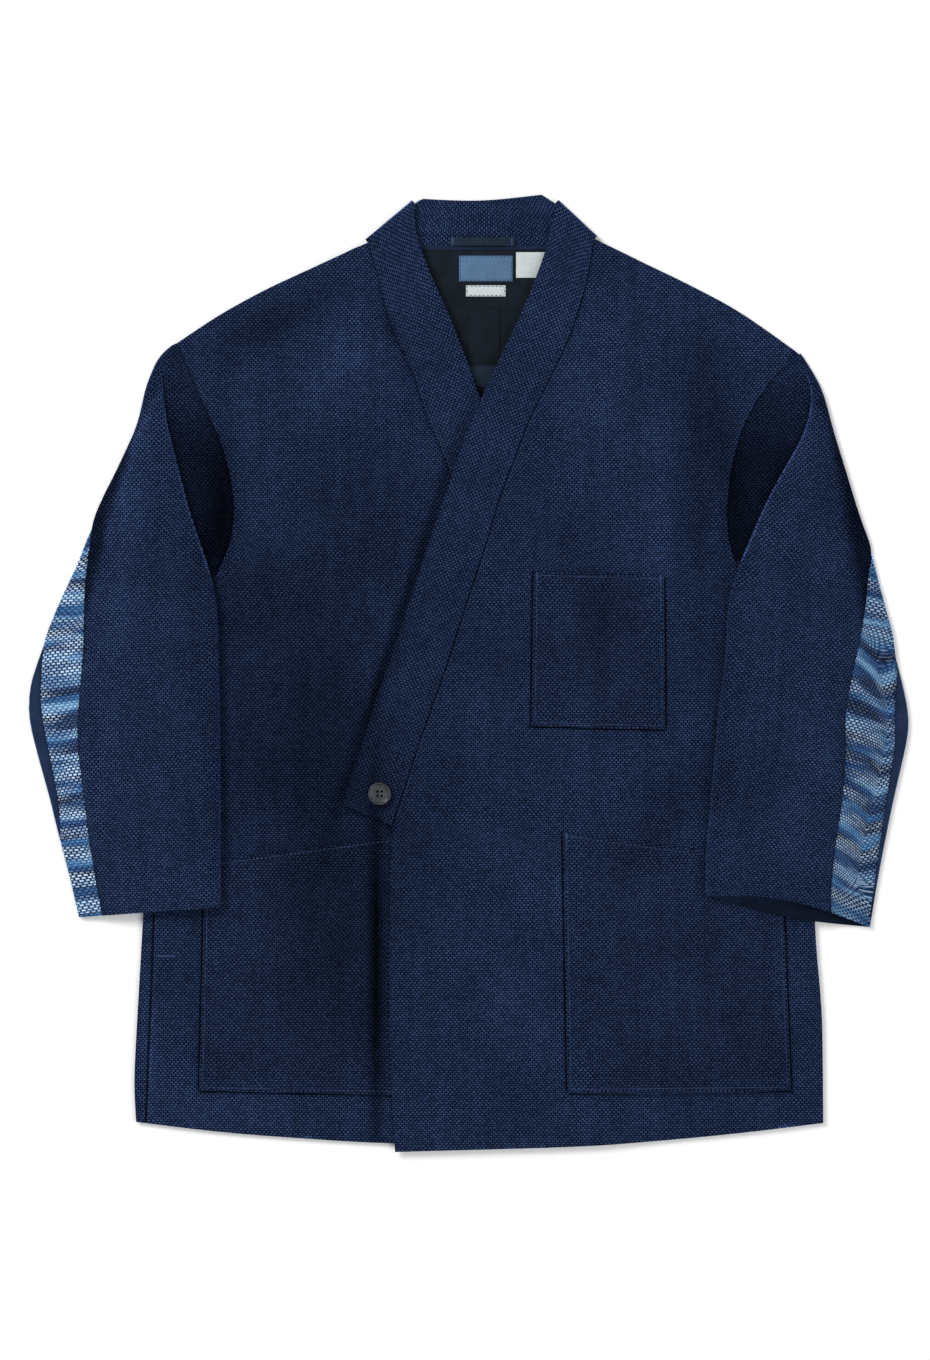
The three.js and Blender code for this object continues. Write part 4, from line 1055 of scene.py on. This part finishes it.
for node in ("woven_label", "size_label"):
    low_left, low_right, high_right, high_left = corners_of(node)
    hem = set_in([high_left, low_left, low_right, high_right, high_left], LABEL_STITCH)
    lay_stitches(node + "_stitches", neck_pieces[node], [hem])
low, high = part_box("hanger_loop")
loop_middle = (low[1] + high[1]) / 2 / MM
ends = []
for x in (low[0] / MM + LOOP_TACK_IN, high[0] / MM - LOOP_TACK_IN):
    ends += bar_tack(x, loop_middle, LOOP_TACK, 90)
lay_stitches("hanger_loop_stitches", neck_pieces["hanger_loop"], ends)

# ---- Button -------------------------------------------------------------------------------------
# A four-hole button of smoky polyester resin, turned with a raised rim and a dished middle, sewn on
# with dark thread.
low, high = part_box("button")
middle = Vector(((low[0] + high[0]) / 2, (low[1] + high[1]) / 2, low[2]))
BUTTON_RADIUS = (high[0] - low[0]) / 2
BUTTON_THICK = high[2] - low[2]
# The turned form, from its foot over the rim to the middle: each step's rise as a part of the
# button's thickness, and its radius as a part of the button's.
FOOT_WIDE = 0.74
TURNED_FORM = (
    (0.26, 0.94), (0.34, 1.0), (0.35, 0.94), (0.03, 0.84), (-0.34, 0.74), (-0.06, 0.62), (0.04, 0.3),
)
HOLE_RADIUS = 1.1 * MM
HOLE_OUT = 2.52 * MM
EDGE_ROUNDING = 0.12 * MM
# The thread's strands run across the button, in mm from its middle.
STRAND_HALF = 0.62
STRANDS = (-2.05, -1.55, 1.55, 2.05)
bpy.ops.object.select_all(action="DESELECT")
bpy.ops.mesh.primitive_circle_add(vertices=64, radius=BUTTON_RADIUS * FOOT_WIDE, fill_type="NGON",
                                  location=middle)
button = bpy.context.active_object
button.name = "button_resin"
bpy.ops.object.transform_apply(location=True)
bpy.ops.object.mode_set(mode="EDIT")
bpy.ops.mesh.select_mode(type="FACE")
bpy.ops.mesh.select_all(action="SELECT")
before = FOOT_WIDE
for rise, wide in TURNED_FORM:
    bpy.ops.mesh.extrude_region_move(TRANSFORM_OT_translate={"value": (0, 0, rise * BUTTON_THICK)})
    bpy.ops.transform.resize(value=(wide / before, wide / before, 1), center_override=middle)
    before = wide
bpy.ops.mesh.select_all(action="SELECT")
bpy.ops.mesh.normals_make_consistent(inside=False)
bpy.ops.object.mode_set(mode="OBJECT")
holes = []
for turn in range(4):
    angle = math.radians(45 + 90 * turn)
    at = middle + Vector((math.cos(angle), math.sin(angle), 0)) * HOLE_OUT
    bpy.ops.mesh.primitive_cylinder_add(vertices=20, radius=HOLE_RADIUS, depth=4 * BUTTON_THICK,
                                        location=at)
    holes.append(bpy.context.active_object)
for hole in holes:
    apply_modifier(button, "BOOLEAN", object=hole, operation="DIFFERENCE", solver="EXACT")
    bpy.data.objects.remove(hole)
apply_modifier(button, "BEVEL", width=EDGE_ROUNDING, segments=2, limit_method="ANGLE",
               angle_limit=math.radians(40))
select_only(button)
bpy.ops.object.shade_smooth_by_angle(angle=math.radians(35))

# Polyester resin, cast with drifting smoke in it and polished: nearly black, with a soft wet gloss.
resin, tree, output = new_material("smoky_polyester_resin")
place = add_node(tree, "TexCoord")
in_mm = add_node(tree, "Mapping", IN_MM, {"Vector": place.outputs["Object"]})
smoke = add_node(tree, "TexNoise", {"Scale": 0.22, "Detail": 4, "Distortion": 1.4}, {"Vector": in_mm})
marbled = add_node(tree, "ValToRGB", links={0: smoke})
ramp = marbled.color_ramp
ramp.elements[0].position, ramp.elements[0].color = 0.35, linear("#090b10")
ramp.elements[1].position, ramp.elements[1].color = 0.72, linear("#343942")
shine = add_node(tree, "BsdfPrincipled",
                 {"Roughness": 0.28, "IOR": 1.55, "Coat Weight": 0.4, "Coat Roughness": 0.12},
                 {"Base Color": marbled})
tree.links.new(shine.outputs[0], output.inputs[0])
button.data.materials.append(resin)
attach(button, "root")
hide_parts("button")
x, y = middle.x / MM, middle.y / MM
strands = [[(x - STRAND_HALF, y + off), (x + STRAND_HALF, y + off)] for off in STRANDS]
lay_stitches("button_thread", button, strands)

# ---- Table, light and camera --------------------------------------------------------------------
# The garment lies on a plain pale table, under two large soft lights and an even white surround. The
# camera looks straight down.
SURROUND = 0.52
CAMERA_AT = (-0.0039, -0.0047, 2.7636)
bpy.ops.mesh.primitive_plane_add(size=6, location=(0, 0, -0.3 * MM))
table = bpy.context.active_object
table.name = "table"
bpy.ops.object.transform_apply(location=True)
# Board painted white with a roller: matt, and almost even.
paint, tree, output = new_material("white_painted_board")
place = add_node(tree, "TexCoord")
grainy = add_node(tree, "TexNoise", {"Scale": 40, "Detail": 2}, {"Vector": place.outputs["Object"]})
pale = add_node(tree, "MapRange", {3: 0.93, 4: 0.95}, {0: grainy})
board = add_node(tree, "BsdfPrincipled", {"Roughness": 0.9, "Specular IOR Level": 0.1},
                 {"Base Color": pale})
tree.links.new(board.outputs[0], output.inputs[0])
table.data.materials.append(paint)


def soft_light(name, at, size, power):
    """A square area light that faces the middle of the garment."""
    lamp = bpy.data.objects.new(name, bpy.data.lights.new(name, "AREA"))
    lamp.data.shape = "SQUARE"
    lamp.data.size = size
    lamp.data.energy = power
    lamp.location = at
    lamp.rotation_euler = (-Vector(at)).to_track_quat("-Z", "Y").to_euler()
    bpy.context.collection.objects.link(lamp)


soft_light("key_light", (-1.6, 1.4, 1.9), 1.3, 62)
soft_light("fill_light", (1.6, -1.0, 2.2), 2.0, 26)

world = bpy.data.worlds.new("white_surround")
world.use_nodes = True
surround = world.node_tree.nodes["Background"]
surround.inputs["Color"].default_value = (1, 1, 1, 1)
surround.inputs["Strength"].default_value = SURROUND
bpy.context.scene.world = world
bpy.context.scene.view_settings.view_transform = "Standard"

lens = bpy.data.cameras.new("camera")
lens.lens = 85
lens.sensor_width = 36
camera = bpy.data.objects.new("camera", lens)
camera.location = CAMERA_AT
bpy.context.collection.objects.link(camera)
bpy.context.scene.camera = camera
